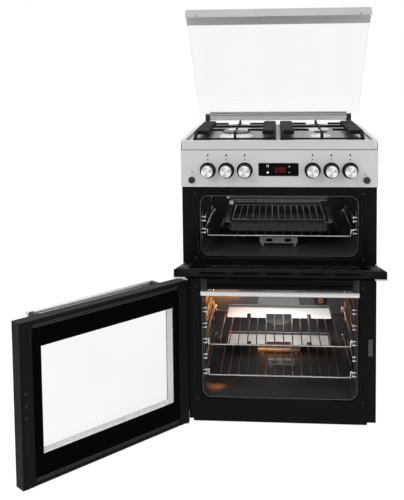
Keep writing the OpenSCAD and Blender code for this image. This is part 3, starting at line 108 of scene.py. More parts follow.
def addRod(name, start, end, diameter, sides=32):
    # round bar from one point to another, in millimetres
    a, b = Vector(inMetres(start)), Vector(inMetres(end))
    deselectAll()
    bpy.ops.mesh.primitive_cylinder_add(vertices=sides, radius=diameter / 2 * mm,
                                        depth=(b - a).length, location=(a + b) / 2)
    obj = named(bpy.context.object, name)
    obj.rotation_mode = "QUATERNION"
    obj.rotation_quaternion = Vector((0, 0, 1)).rotation_difference((b - a).normalized())
    return bakePlace(obj)


def facing(axis, sign):
    return lambda middle, normal: normal[axis] * sign > 0.9


def enterEdit():
    bpy.ops.object.mode_set(mode="EDIT")


def leaveEdit():
    bpy.ops.object.mode_set(mode="OBJECT")


def selectAll(obj):
    # selects the whole mesh, in edit mode
    makeActive(obj)
    enterEdit()
    bpy.ops.mesh.select_all(action="SELECT")


def startPick(obj, kind):
    # clears the selection of faces or edges, for the caller to set
    makeActive(obj)
    enterEdit()
    bpy.ops.mesh.select_mode(type=kind)
    bpy.ops.mesh.select_all(action="DESELECT")
    leaveEdit()


def pickFaces(obj, test):
    # selects the faces whose middle (millimetres) and normal pass the test, and enters edit mode
    startPick(obj, "FACE")
    for face in obj.data.polygons:
        face.select = bool(test(face.center / mm, face.normal))
    enterEdit()


def dropFaces(obj, test):
    pickFaces(obj, test)
    bpy.ops.mesh.delete(type="FACE")
    leaveEdit()


def splitFaces(obj, twin, test):
    # of two equal meshes, the twin keeps the faces that pass the test and obj keeps the others
    dropFaces(obj, test)
    dropFaces(twin, lambda middle, normal: not test(middle, normal))


def stepFaces(obj, test, steps):
    # insets the picked faces again and again: (inwards, outwards) in millimetres
    pickFaces(obj, test)
    for inwards, outwards in steps:
        bpy.ops.mesh.inset(thickness=inwards * mm, depth=outwards * mm)
    leaveEdit()


def roundCorners(obj, radius, segments):
    # bevels the edges that run along y
    startPick(obj, "EDGE")
    points = [v.co / mm for v in obj.data.vertices]
    for edge in obj.data.edges:
        a, b = (points[i] for i in edge.vertices)
        edge.select = abs(a.x - b.x) + abs(a.z - b.z) < 0.01
    enterEdit()
    bpy.ops.mesh.bevel(offset=radius * mm, segments=segments)
    leaveEdit()


def bridgeOpenEdges():
    # in edit mode: puts faces between the two open edges of a hole
    bpy.ops.mesh.select_mode(type="EDGE")
    bpy.ops.mesh.select_all(action="DESELECT")
    bpy.ops.mesh.select_non_manifold()
    bpy.ops.mesh.bridge_edge_loops()
    leaveEdit()


def cutAcross(obj, axis, place):
    # cuts the whole mesh by a plane across an axis
    normal = [float(i == axis) for i in range(3)]
    selectAll(obj)
    bpy.ops.mesh.bisect(plane_co=[v * place * mm for v in normal], plane_no=normal)
    leaveEdit()


def openWindow(obj, low, high):
    # cuts a rectangular hole through a plate along y, between two corners (x, z)
    sides = list(zip((0, 2), low, high))
    for axis, a, b in sides:
        cutAcross(obj, axis, a)
        cutAcross(obj, axis, b)

    def inHole(middle, normal):
        return abs(normal[1]) > 0.9 and all(
            a - 0.01 < middle[axis] < b + 0.01 for axis, a, b in sides)

    pickFaces(obj, inHole)
    bpy.ops.mesh.delete(type="FACE")
    bridgeOpenEdges()


def applyModifiers(obj):
    makeActive(obj)
    for modifier in list(obj.modifiers):
        bpy.ops.object.modifier_apply(modifier=modifier.name)


def smoothed(obj, angle=40):
    makeActive(obj)
    bpy.ops.object.shade_smooth_by_angle(angle=math.radians(angle))
    return obj


def roundEdges(obj, width, segments=2):
    # bevels all sharp edges, keeps the flats flat and smooths the rest
    bevel = obj.modifiers.new("round", "BEVEL")
    bevel.width = width * mm
    bevel.segments = segments
    bevel.limit_method = "ANGLE"
    bevel.angle_limit = math.radians(30)
    bevel.miter_outer = "MITER_ARC"
    applyModifiers(obj)
    smoothed(obj)
    flat = obj.modifiers.new("flat", "WEIGHTED_NORMAL")
    flat.keep_sharp = True
    applyModifiers(obj)
    return obj


def outwards(obj):
    selectAll(obj)
    bpy.ops.mesh.remove_doubles(threshold=0.00001)
    bpy.ops.mesh.normals_make_consistent(inside=False)
    leaveEdit()
    return obj


def joined(name, parts):
    deselectAll()
    for part in parts:
        part.select_set(True)
    bpy.context.view_layer.objects.active = parts[0]
    bpy.ops.object.join()
    return named(bpy.context.object, name)


def newObject(name, data):
    obj = bpy.data.objects.new(name, data)
    bpy.context.scene.collection.objects.link(obj)
    return obj


def copied(obj, move):
    # a copy with its own mesh, moved by millimetres
    twin = newObject(obj.name, obj.data.copy())
    twin.data.transform(Matrix.Translation(inMetres(move)))
    return twin


def repeated(name, obj, moves):
    # the same shape at several places, as one piece
    return joined(name, [obj] + [copied(obj, move) for move in moves])


def turned(obj, matrix):
    obj.data.transform(matrix)
    obj.data.update()
    return obj


def turnAbout(place, axis, degrees):
    # turn about a line through a place in millimetres
    middle = Matrix.Translation(inMetres(place))
    return middle @ Matrix.Rotation(math.radians(degrees), 4, axis) @ middle.inverted()


def addDisc(name, place, y, diameter, sides, steps=(), sign=-1):
    # round piece along y at a place (x, z), with steps on its end that faces -y or, with sign=1, +y
    x, z = place
    disc = addRod(name, (x, y[0], z), (x, y[1], z), diameter, sides)
    if steps:
        stepFaces(disc, facing(1, sign), steps)
    return disc


def flatRing(place, back, proud, diameter, sides, rim):
    # a printed ring: a thin disc with its middle sunk
    return addDisc("ring", place, (back, back - proud), diameter, sides,
                   [(rim, 0), (0.02, -proud * 0.8)])


def flatBar(x, z, halfX, halfZ, back, proud):
    # a printed bar
    return addBlock("bar", (x - halfX, back - proud, z - halfZ), (x + halfX, back, z + halfZ))


def addPlate(name, corners, y):
    # block between two corners (x, z), from y[0] to y[1]
    (x0, z0), (x1, z1) = corners
    return addBlock(name, (x0, y[0], z0), (x1, y[1], z1))


def barAcross(name, place, reach, diameter, sides, steps):
    # round bar along x through a place (y, z), with steps on both ends
    bar = addRod(name, (-reach, *place), (reach, *place), diameter, sides)
    for sign in (1, -1):
        stepFaces(bar, facing(0, sign), steps)
    return bar


def bothSides(near, far):
    # the same span left and right of the middle
    return (-far, -near), (near, far)


def camel(node):
    first, *others = node.split("_")
    return first + "".join(word.capitalize() for word in others)


def fromNode(node, name, flats=True):
    # merged copy of a CAD node, with its flat faces made whole
    source = nodes[node]
    obj = newObject(name, source.data.copy())
    obj.data.materials.clear()
    obj.data.transform(source.matrix_world)
    selectAll(obj)
    bpy.ops.mesh.remove_doubles(threshold=0.00001)
    if flats:
        bpy.ops.mesh.dissolve_limited(angle_limit=math.radians(0.5))
    leaveEdit()
    return obj


# effects shared by the materials

def setInputs(node, inputs):
    # inputs are values or other nodes' outputs, in order or by name
    for label, value in inputs.items() if isinstance(inputs, dict) else enumerate(inputs):
        if isinstance(value, bpy.types.NodeSocket):
            node.id_data.links.new(value, node.inputs[label])
        else:
            node.inputs[label].default_value = value


def addNode(tree, kind, inputs=(), **settings):
    node = tree.nodes.new("ShaderNode" + kind)
    for key, value in settings.items():
        setattr(node, key, value)
    setInputs(node, inputs)
    return node


def mathNode(tree, operation, *values, **settings):
    return addNode(tree, "Math", values, operation=operation, **settings).outputs[0]


def rangeNode(tree, value, fromLow, fromHigh, toLow=0.0, toHigh=1.0):
    inputs = {"Value": value, "From Min": fromLow, "From Max": fromHigh, "To Min": toLow,
              "To Max": toHigh}
    return addNode(tree, "MapRange", inputs).outputs["Result"]


def noiseNode(tree, vector, scale, detail):
    inputs = {"Vector": vector, "Scale": scale, "Detail": detail}
    return addNode(tree, "TexNoise", inputs).outputs["Fac"]


def newGroup(name, output, inputs):
    # node group with a vector and the given inputs, and one output
    group = bpy.data.node_groups.new(name, "ShaderNodeTree")
    for label, value in {"Vector": (0, 0, 0), **inputs}.items():
        kind = "NodeSocketVector" if isinstance(value, tuple) else "NodeSocketFloat"
        socket = group.interface.new_socket(label, in_out="INPUT", socket_type=kind)
        socket.default_value = value
    group.interface.new_socket(output, in_out="OUTPUT", socket_type="NodeSocketFloat")
    start = group.nodes.new("NodeGroupInput").outputs
    return group, start, group.nodes.new("NodeGroupOutput")


def patchEffect():
    # soft cloudy patches, for colour and gloss that aren't quite even
    group, start, end = newGroup("softPatches", "Value", {"Size": 0.1})
    scale = mathNode(group, "DIVIDE", 1.0, start["Size"])
    noise = noiseNode(group, start["Vector"], scale, 5)
    setInputs(end, [rangeNode(group, noise, 0.3, 0.7)])
    return group


def grainEffect():
    # fine streaks along the axis that is stretched least
    group, start, end = newGroup("drawnGrain", "Mask", {"Stretch": (1, 1, 1), "Contrast": 3.0})
    stretched = addNode(group, "VectorMath", (start["Vector"], start["Stretch"]),
                        operation="MULTIPLY").outputs[0]
    shifted = mathNode(group, "SUBTRACT", noiseNode(group, stretched, 1.0, 3), 0.5)
    centred = mathNode(group, "MULTIPLY_ADD", shifted, start["Contrast"], 0.5, use_clamp=True)
    setInputs(end, [centred])
    return group


def speckEffect():
    # scattered round specks, as in oven enamel
    group, start, end = newGroup("enamelSpecks", "Mask", {"Spacing": 0.004, "Share": 0.2})
    scale = mathNode(group, "DIVIDE", 1.0, start["Spacing"])
    cells = addNode(group, "TexVoronoi", {"Vector": start["Vector"], "Scale": scale})
    setInputs(end, [mathNode(group, "LESS_THAN", cells.outputs["Distance"], start["Share"])])
    return group


def peelEffect():
    # low bumps of paint, enamel or cast metal
    group, start, end = newGroup("orangePeel", "Height", {"Size": 0.002})
    scale = mathNode(group, "DIVIDE", 1.0, start["Size"])
    setInputs(end, [noiseNode(group, start["Vector"], scale, 2)])
    return group


def turnedRingsAndSheenEffect():
    # fine rings of a turned metal face, with light and dark wedges by angle painted on as its
    # highlight and shade
    group, start, end = newGroup("turnedRingsAndPaintedSheen", "Mask", {"Lobes": 3.0})
    parts = addNode(group, "SeparateXYZ", [start["Vector"]]).outputs
    angle = mathNode(group, "ARCTAN2", parts["Y"], parts["X"])
    paintedSheenWedges = mathNode(group, "SINE", mathNode(group, "MULTIPLY_ADD", angle, start["Lobes"], 0.7))
    radius = addNode(group, "VectorMath", [start["Vector"]], operation="LENGTH").outputs["Value"]
    rings = mathNode(group, "SINE", mathNode(group, "MULTIPLY", radius, 900.0))
    both = mathNode(group, "MULTIPLY_ADD", rings, 0.18, paintedSheenWedges)
    setInputs(end, [rangeNode(group, both, -1.0, 1.0)])
    return group


effects = {"patches": patchEffect(), "grain": grainEffect(), "specks": speckEffect(),
           "peel": peelEffect(), "turned": turnedRingsAndSheenEffect()}


def useEffect(tree, key, coords, **values):
    inputs = {"Vector": coords, **values}
    return addNode(tree, "Group", inputs, node_tree=effects[key]).outputs[0]


def mixColours(tree, factor, first, second):
    # first and second are colours or other nodes' outputs
    first, second = ((*c, 1.0) if isinstance(c, tuple) else c for c in (first, second))
    return addNode(tree, "Mix", {0: factor, 6: first, 7: second}, data_type="RGBA").outputs[2]


def grey(value, blue=None):
    return (value, value, value if blue is None else blue)


def darker(colour, share):
    return tuple(c * (1 - share) for c in colour)


def newLook(name):
    look = bpy.data.materials.new(name)
    look.use_nodes = True
    return look, look.node_tree, look.node_tree.nodes["Principled BSDF"]


def makeFinish(name, colour, rough=(0.3, 0.4), metal=0.0, vary=0.08, patch=0.12, grain=None,
               peel=(2, 0.02), specks=None, spun=None, glow=None, gloss=0.5, coat=0.0,
               clear=0.0, bend=1.45):
    # colours are linear; patch is the patches' size in metres and vary their darkening;
    # grain is (stretch per metre, darkening, height) and peel, where there is no grain, is
    # (size, height); specks is (spacing, share, colour); the turned-face setting is (lobes, dark
    # colour) of fine rings and light and dark wedges, the wedges painted highlight and painted
    # shade, on the piece's own map; glow is (colour, strength); lengths are in mm
    look, tree, shader = newLook(name)
    coords = addNode(tree, "TexCoord").outputs["UV" if spun else "Object"]
    cloud = useEffect(tree, "patches", coords, Size=patch)
    result = mixColours(tree, cloud, colour, darker(colour, vary))
    if spun:
        # a turned face: fine rings, and light and dark wedges by angle that are painted highlight
        # and painted shade
        lobes, dark = spun
        result = mixColours(tree, useEffect(tree, "turned", coords, Lobes=lobes), result, dark)
    height = None
    if grain:
        stretch, share, depth = grain
        height = useEffect(tree, "grain", coords, Stretch=stretch)
        streaks = rangeNode(tree, height, 0.0, 1.0, 0.0, 0.6)
        result = mixColours(tree, streaks, result, darker(colour, share))
    elif peel:
        size, depth = peel
        height = useEffect(tree, "peel", coords, Size=size * mm)
    if specks:
        spacing, share, speckColour = specks
        mask = useEffect(tree, "specks", coords, Spacing=spacing * mm, Share=share)
        result = mixColours(tree, mask, result, speckColour)
    setInputs(shader, {"Base Color": result, "Metallic": metal,
                       "Roughness": rangeNode(tree, cloud, 0.0, 1.0, *rough),
                       "Specular IOR Level": gloss, "Coat Weight": coat, "Coat Roughness": 0.05,
                       "Transmission Weight": clear, "IOR": bend})
    if height is not None:
        bump = addNode(tree, "Bump", {"Strength": 1.0, "Distance": depth * mm, "Height": height})
        setInputs(shader, {"Normal": bump.outputs["Normal"]})
    if glow:
        hue, strength = glow
        setInputs(shader, {"Emission Color": mixColours(tree, cloud, hue, darker(hue, 0.1)),
                           "Emission Strength": strength})
    return look


looks = {
    "cabinetBlack": dict(
        colour=grey(0.0055, 0.006), rough=(0.32, 0.44), peel=(1.2, 0.03), gloss=0.06),
    "doorBlack": dict(colour=grey(0.0072, 0.0078), rough=(0.36, 0.46), peel=(1, 0.03), gloss=0.05),
    "frontEnamel": dict(
        colour=grey(0.005, 0.0054), rough=(0.18, 0.26), peel=(3, 0.03),
        specks=(6, 0.06, grey(0.01, 0.0105)), gloss=0.06),
    "ovenEnamel": dict(
        colour=grey(0.044, 0.047), rough=(0.28, 0.32), peel=(4, 0.01),
        specks=(1.6, 0.12, grey(0.052, 0.055)), gloss=0.08),
    "panEnamel": dict(
        colour=grey(0.03, 0.032), rough=(0.2, 0.3), peel=(3, 0.05),
        specks=(4, 0.12, grey(0.09, 0.1)), gloss=0.35),
    "galvanised": dict(
        colour=(0.5, 0.51, 0.52), rough=(0.38, 0.48), metal=0.9, vary=0.1, patch=0.015,
        peel=(4, 0.04)),
    "steelDrawn": dict(
        colour=grey(0.56), rough=(0.24, 0.32), metal=1, vary=0.05,
        grain=((8, 1800, 1800), 0.1, 0.01)),
    "panelSilver": dict(
        colour=grey(0.6), rough=(0.36, 0.42), metal=0.45, vary=0.03, patch=0.3,
        grain=((6, 1500, 1500), 0.05, 0.006)),
    "trimSilver": dict(
        colour=grey(0.46), rough=(0.42, 0.5), metal=0.3, vary=0.03,
        grain=((6, 900, 900), 0.03, 0.001)),
    # the lid trim's front face in a darker grey than the rest of the trim: painted shade
    "trimShade": dict(
        colour=grey(0.25), rough=(0.42, 0.5), metal=0.3, vary=0.03,
        grain=((6, 900, 900), 0.03, 0.001)),
    "barSilver": dict(
        colour=grey(0.32), rough=(0.42, 0.5), metal=0.1, vary=0.03,
        grain=((6, 900, 900), 0.03, 0.001)),
    "handleMetal": dict(
        colour=grey(0.66), rough=(0.28, 0.36), metal=0.5, vary=0.03,
        grain=((6, 1800, 1800), 0.06, 0.01)),
    "chromeWire": dict(
        colour=grey(0.7), rough=(0.08, 0.16), metal=1, vary=0.1, patch=0.03, peel=(6, 0.04)),
    "shelfPlate": dict(
        colour=grey(0.74), rough=(0.42, 0.52), metal=0.1, vary=0.06,
        grain=((1200, 8, 8), 0.06, 0.01)),
    "burnerSteel": dict(
        colour=grey(0.1), rough=(0.4, 0.55), metal=0.6, vary=0.2, patch=0.03, peel=(2, 0.05)),
    "burnerAlloy": dict(colour=grey(0.92), metal=0.2, vary=0.05, patch=0.02, peel=(1.5, 0.02)),
    "wellSteel": dict(
        colour=grey(0.4), rough=(0.3, 0.38), metal=0.8, grain=((8, 1600, 1600), 0.1, 0.01)),
    "capEnamel": dict(colour=grey(0.007, 0.0075), rough=(0.26, 0.34), gloss=0.35),
    "castBlack": dict(
        colour=grey(0.008, 0.0085), rough=(0.6, 0.75), vary=0.2, peel=(1.6, 0.12), gloss=0.1),
    "porcelain": dict(colour=(0.8, 0.79, 0.75), rough=(0.2, 0.3), coat=0.3),
    "brassPipe": dict(
        colour=(0.62, 0.46, 0.2), rough=(0.28, 0.4), metal=1, vary=0.15, patch=0.02,
        peel=(3, 0.03)),
    "blackPlastic": dict(colour=grey(0.014, 0.015), rough=(0.38, 0.5), peel=(0.8, 0.04), gloss=0.4),
    "whitePlastic": dict(colour=grey(0.7, 0.67), rough=(0.4, 0.5), peel=(0.8, 0.03)),
    "gasketGrey": dict(
        colour=grey(0.007, 0.0075), rough=(0.6, 0.8), grain=((900, 900, 900), 0.3, 0.2),
        gloss=0.06),
    "woolYellow": dict(
        colour=(0.62, 0.52, 0.3), rough=(0.9, 1.0), vary=0.3, patch=0.02,
        grain=((300, 900, 300), 0.3, 1.0)),
    "displayBlack": dict(
        colour=grey(0.0015), rough=(0.08, 0.12), vary=0, peel=(20, 0.01), gloss=0.05),
    "knobSkirt": dict(colour=grey(0.006, 0.007), rough=(0.2, 0.3), peel=(1, 0.02), gloss=0.25),
    "borderGlass": dict(
        colour=grey(0.0007, 0.0008), rough=(0.08, 0.12), vary=0, peel=(30, 0.01), gloss=0.014),
    "clearGlass": dict(
        colour=(0.93, 0.935, 0.935), rough=(0, 0.01), vary=0.01, peel=(50, 0.01), clear=1,
        bend=1.12),
    "lidGlass": dict(
        colour=(0.925, 0.93, 0.93), rough=(0, 0.01), vary=0.005, peel=(60, 0.01), clear=1,
        bend=1.08),
    "channelGrey": dict(colour=grey(0.92), rough=(0.5, 0.6)),
    "plateGrey": dict(
        colour=grey(0.26), rough=(0.4, 0.5), metal=0.3, vary=0.1,
        grain=((900, 30, 30), 0.08, 0.01)),
    # black for the lid's stops, and the painted shade of the gap under the hob's edge
    "gapShadeAndStopBlack": dict(colour=grey(0.003), rough=(0.6, 0.7), gloss=0.2),
    # near black, as the painted shade inside the top door's vent slots
    "ventDark": dict(colour=grey(0.001), rough=(0.6, 0.7), gloss=0.02),
    "screwSteel": dict(colour=grey(0.6), rough=(0.2, 0.3), metal=1, peel=(1, 0.02)),
    "markInk": dict(colour=grey(0.03), rough=(0.5, 0.6), peel=(1, 0.01), gloss=0.3),
    "paleInk": dict(colour=grey(0.55), rough=(0.5, 0.6), peel=(1, 0.01), glow=(grey(0.5), 0.5)),
    "redDigits": dict(
        colour=(0.1, 0, 0), rough=(0.4, 0.5), peel=(1, 0.01), glow=((0.9, 0.01, 0.012), 0.34)),
    "windowDim": dict(
        colour=grey(0.3), rough=(0, 0.01), vary=0.01, peel=(50, 0.01), clear=1, bend=1.5),
    "lampAmber": dict(
        colour=(0.05, 0.014, 0.004), rough=(0.15, 0.25), peel=(3, 0.05),
        glow=((1, 0.36, 0.08), 0.05)),
    # the cap's light and dark wedges are painted highlight and painted shade; its fine rings are
    # turning marks
    "knobCap": dict(
        colour=grey(0.9), rough=(0.3, 0.38), metal=0.3, vary=0.03, patch=0.4, peel=None,
        spun=(3, grey(0.46))),
    "hobSteel": dict(
        colour=grey(0.62), rough=(0.28, 0.36), metal=0.6, vary=0.05, patch=0.25,
        grain=((8, 1600, 1600), 0.08, 0.01)),
    "screwDark": dict(colour=grey(0.03, 0.032), metal=0.5, peel=(1, 0.02)),
    "lineGrey": dict(colour=grey(0.1), metal=0.5, peel=(1, 0.02)),
    "beadGrey": dict(colour=grey(0.12), rough=(0.25, 0.35), metal=0.5, peel=(1, 0.02)),
    "stripBlack": dict(
        colour=grey(0.0075, 0.008), rough=(0.36, 0.46), grain=((1500, 1500, 6), 0.15, 0.01),
        gloss=0.05),
    "catchDark": dict(colour=grey(0.06), rough=(0.35, 0.45), metal=0.3),
    # a dark copy of the wire finish: painted shade on the racks' front posts and the shelf plates'
    # rear lips
    "wireDark": dict(colour=grey(0.05), metal=0.6, peel=(4, 0.03)),
    # a dark grey in place of the trivet's chrome: painted shade that dims its highlights
    "trivetWire": dict(colour=grey(0.16), rough=(0.26, 0.36), metal=0.8, vary=0.1, peel=(4, 0.03)),
    # the hinge bar's underside in a paler grey than the rest of the bar: painted light
    "barPale": dict(
        colour=grey(0.84), rough=(0.42, 0.5), metal=0.1, vary=0.03,
        grain=((6, 900, 900), 0.03, 0.001)),
    "lampRing": dict(colour=(0.01, 0.009, 0.008), rough=(0.2, 0.3), gloss=0.2),
}
finishes = {name: makeFinish(name, **look) for name, look in looks.items()}
print("finishes made:", len(finishes))

# the CAD nodes that stay as they are, and what each is made of
nodeLooks = {
    "flue_duct": "galvanised", "oven_insulation": "woolYellow", "oven_gaskets": "gasketGrey",
    "gas_pipework": "brassPipe", "gas_taps": "brassPipe", "ignition_box": "whitePlastic"}
slotOf = {part["node"]: part["material_slot"] for part in frame["record"]["subparts"]}
bodyOf = {node: body_of(nodes[node])[0] for node in nodes}
for node, look in nodeLooks.items():
    mesh = nodes[node].data
    mesh.materials.clear()
    mesh.materials.append(finishes[look])
    for face in mesh.polygons:
        face.material_index = 0
print("nodes painted")


# ready pieces

def fitted(obj, node, look, replaced=()):
    # a piece that rides where a node rides, with the given finish, and may stand for it
    body, slot = bodyOf[node], slotOf[node]
    obj.data.materials.clear()
    obj.data.materials.append(finishes[look])
    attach(obj, body)
    if replaced:
        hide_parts(*replaced)
    return obj


def dressed(node, look, edge, segments=2, name=None, flats=True):
    # the node's own shape with its sharp edges broken and its round faces smooth
    obj = fromNode(node, name or camel(node), flats)
    if edge:
        roundEdges(obj, edge, segments)
    else:
        smoothed(obj)
    return fitted(obj, node, look, [node])


def dressAll(table):
    # node: (look, edge, segments, name), where the last two may be left out
    for node, settings in table.items():
        dressed(node, *settings)


# control panel, knobs, buttons and timer

# places are (x, z); a disc is its (y from, y to), diameter, sides and steps on its end
panelShape = {
    "edge": 0.9, "ink": 0.12,
    "knobs": {"top_oven": -216.5, "front_left": -159.8, "rear_left": -103.1, "rear_right": 103.1,
              "front_right": 159.8, "main_oven": 216.5},
    "dotHeight": 841.6, "dotSize": 4.0, "dot": (262, 795),
    "markHeight": 855.0, "markSize": 6.0, "markRim": 0.9, "markBar": 0.5,
    "bars": (-265, 803), "barHalf": (3.5, 0.6), "barStep": 1.7,
    "seam": ((-299.4, -0.15, 870.6), (299.4, 0.4, 872.2))}
knobShape = {
    "height": 808.5, "skirt": ((-0.7, -35.0), 39.0, 96, [(0.25, 0.6), (0.6, 0.5), (0.9, 0.25)]),
    "cap": ((-35.0, -39.9), 35.2, 96, [(0.15, 0.7), (0.45, 0.5), (0.8, 0.3), (1.6, 0.0),
                                       (0.5, -0.7), (0.4, -0.1)]),
    "mark": (0.7, (-41.2, -40.4), (9.4, 13.2)), "markSteps": [(0.2, 0.1)]}
# a bezel is its outer and inner radius, its back and front, and its lip
bezelShape = {"sides": 96, "dark": (24.5, 20.3, -0.3, -4.2, 0.5),
              "bright": (25.0, 24.55, -0.25, -2.7, 0.25)}
buttonShape = {
    "places": {"ignition_button": (-266.5, 778.0), "lamp_button": (266.5, 778.0)},
    "face": ((-0.05, -6.4), 20.0, 64, [(0.3, 0.5), (0.8, 0.1), (1.4, 0.0), (0.8, -0.3),
                                       (2.0, -0.2), (3.0, -0.1)]),
    "stem": ((24, -0.1), 16, 48, [(0.8, 0.8)], 1)}
timerShape = {
    "edge": 0.4, "face": -2.2, "proud": 0.12, "middle": 810.0,
    "wide": 5.2, "half": 7.0, "stroke": 0.85, "corner": 0.45,
    "digits": [("1", -12.0), ("2", -3.6), ("0", 8.0), ("0", 17.2)],
    "lit": {"1": "bc", "2": "abged", "0": "abcdef"},
    "colon": 2.2, "colonStep": 3.6, "colonSize": 1.9,
    "square": ((-36.2, 818.8), (-29.8, 825.2)), "opening": ((-35.0, 820.0), (-31.0, 824.0)),
    "ring": (-33, 802), "ringSize": 7,
    "bars": [(33, 820, 2.4, 0.6), (33, 820, 0.6, 2.4), (33, 802, 2.4, 0.6)]}


def makeControlPanel():
    shape = panelShape
    dressed("control_panel", "panelSilver", shape["edge"])
    ink, size = shape["ink"], shape["markSize"]
    inks = []
    for x in shape["knobs"].values():
        inks.append(addDisc("dot", (x, shape["dotHeight"]), (0, -ink), shape["dotSize"], 20))
        # a small ring with a bar in it, in place of a symbol
        z = shape["markHeight"]
        ring = flatRing((x, z), 0, ink, size, 24, shape["markRim"])
        inks.append(joined("mark", [ring, flatBar(x, z, size / 4, shape["markBar"], 0, ink)]))
    x, z = shape["bars"]
    for step in (-shape["barStep"], shape["barStep"]):
        inks.append(flatBar(x, z + step, *shape["barHalf"], 0, ink))
    inks.append(addDisc("dot", shape["dot"], (0, -ink), shape["dotSize"], 20))
    fitted(joined("panelMarks", inks), "control_panel", "markInk")
    # a dark strip under the hob's edge: painted shade of the gap there
    seam = addBlock("panelSeam", *shape["seam"])
    fitted(roundEdges(seam, 0.1, 1), "control_panel", "gapShadeAndStopBlack")


def faceMap(obj, x, z):
    # flat map over a round face, in decimetres, for its fine rings and painted highlight wedges
    while obj.data.uv_layers:
        obj.data.uv_layers.remove(obj.data.uv_layers[0])
    layer = obj.data.uv_layers.new(name="turned")
    for loop in obj.data.loops:
        place = obj.data.vertices[loop.vertex_index].co / mm
        layer.data[loop.index].uv = ((place.x - x) / 100, (place.z - z) / 100)
    return obj


def makeKnobs():
    shape = knobShape
    z = shape["height"]
    skirt = smoothed(outwards(addDisc("knobSkirt", (0, z), *shape["skirt"])), 35)
    cap = smoothed(outwards(addDisc("knobCap", (0, z), *shape["cap"])), 30)
    half, y, rise = shape["mark"]
    mark = addBlock("knobMark", (-half, y[0], z + rise[0]), (half, y[1], z + rise[1]))
    stepFaces(mark, facing(1, -1), shape["markSteps"])
    for key, x in panelShape["knobs"].items():
        node = "knob_" + key
        for obj, look in ((skirt, "knobSkirt"), (cap, "knobCap"), (mark, "markInk")):
            piece = named(copied(obj, (x, 0, 0)), obj.name + camel(node)[len("knob"):])
            if obj is cap:
                faceMap(piece, x, z)
            fitted(piece, node, look, [node] if obj is skirt else ())
    for obj in (skirt, cap, mark):
        bpy.data.objects.remove(obj)


def bezelRings(name, outer, inner, back, front, lip):
    steps = [(lip, lip * 0.8), (outer - inner - 2 * lip, 0), (lip, -lip * 0.8),
             (0.03, front - back + 0.4)]
    first, *others = panelShape["knobs"].values()
    ring = addDisc(name, (first, knobShape["height"]), (back, front), 2 * outer,
                   bezelShape["sides"], steps)
    smoothed(outwards(ring), 35)
    return repeated(name, ring, [(x - first, 0, 0) for x in others])


def makeBezels():
    for name, key, look, replaced in (("knobBezels", "dark", "knobSkirt", ["knob_bezels"]),
                                      ("knobRings", "bright", "steelDrawn", [])):
        fitted(bezelRings(name, *bezelShape[key]), "knob_bezels", look, replaced)


def makeButtons():
    for node, place in buttonShape["places"].items():
        button = smoothed(outwards(addDisc(camel(node), place, *buttonShape["face"])), 35)
        stem = smoothed(addDisc("stem", place, *buttonShape["stem"]), 35)
        whole = joined(camel(node), [button, stem])
        fitted(whole, node, "blackPlastic", [node])


def makeTimer():
    shape = timerShape
    dressed("timer_display", "displayBlack", shape["edge"], name="timerGlass")
    face, proud = shape["face"], shape["proud"]
    half, wide, stroke = shape["half"], shape["wide"] / 2, shape["stroke"]
    bars = {"a": (0, half, True), "g": (0, 0, True), "d": (0, -half, True),
            "f": (-wide, half / 2, False), "b": (wide, half / 2, False),
            "e": (-wide, -half / 2, False), "c": (wide, -half / 2, False)}
    parts = []
    for digit, middle in shape["digits"]:
        for key in shape["lit"][digit]:
            x, z, level = bars[key]
            a, b = (wide, stroke / 2) if level else (stroke / 2, half / 2)
            bar = flatBar(x + middle, z + shape["middle"], a, b, face, proud)
            roundCorners(bar, stroke * shape["corner"], 1)
            parts.append(bar)
    for step in (-shape["colonStep"], shape["colonStep"]):
        parts.append(addDisc("dot", (shape["colon"], shape["middle"] + step),
                             (face, face - proud), shape["colonSize"], 16))
    fitted(joined("timerDigits", parts), "timer_display", "redDigits")
    square = addPlate("square", shape["square"], (face - proud, face))
    openWindow(square, *shape["opening"])
    marks = [square, flatRing(shape["ring"], face, proud, shape["ringSize"], 28, 1.0)]
    marks += [flatBar(*bar, face, proud) for bar in shape["bars"]]
    fitted(joined("timerMarks", marks), "timer_display", "paleInk")


makeControlPanel()
makeBezels()
makeKnobs()
makeButtons()
makeTimer()
print("control panel done")


# hob, burners, pan supports and lid

hobShape = {"edge": 1.6, "wellHeight": 893.0}
hobPieces = {
    "burner_bases": ("burnerAlloy", 0.8), "burner_crowns": ("burnerAlloy", 0.3, 1),
    "burner_caps": ("capEnamel", 1.2, 3), "spark_electrodes": ("porcelain", 0.2, 1),
    "pan_support_left": ("castBlack", 1.4), "pan_support_right": ("castBlack", 1.4)}
ribShape = {
    "across": [(12, 46), (226, 260)], "along": [(102, 188), (194, 280), (286, 374), (380, 465)],
    "height": (920.0, 921.3), "steps": [(2.5, 0.8), (4.0, 0.5)]}
lidPieces = {
    "lid_glass": ("lidGlass", 0.6), "lid_front_trim": ("trimSilver", 0.8, 2, "lidTrim"),
    "lid_hinge_bar": ("barSilver", 1.0), "lid_hinge_blocks": ("blackPlastic", 2.0, 3)}
lidShape = {
    "hinge": (0, 575, 932), "angle": -43,
    "barFace": ((-252.4, 563.0, 920.65), (252.4, 587.0, 921.4)),
    "trimFace": ((-297.6, 26.8, 902.6), (297.6, 27.2, 935.4)),
    "stops": [(-262, 906.5), (262, 906.5)], "stop": ((27.2, 26.4), 5.0, 24, [(0.8, 0.4)])}


def makeHob():
    top = dressed("hob_top", "hobSteel", hobShape["edge"], 3)
    # the well's floor is a piece of its own, in a darker grey than the top
    well = named(copied(top, (0, 0, 0)), "hobWell")
    height = hobShape["wellHeight"]
    splitFaces(top, well, lambda middle, normal: (normal[2] > 0.99
                                                  and abs(middle[2] - height) < 0.05))
    fitted(well, "hob_top", "wellSteel")
    dressAll(hobPieces)


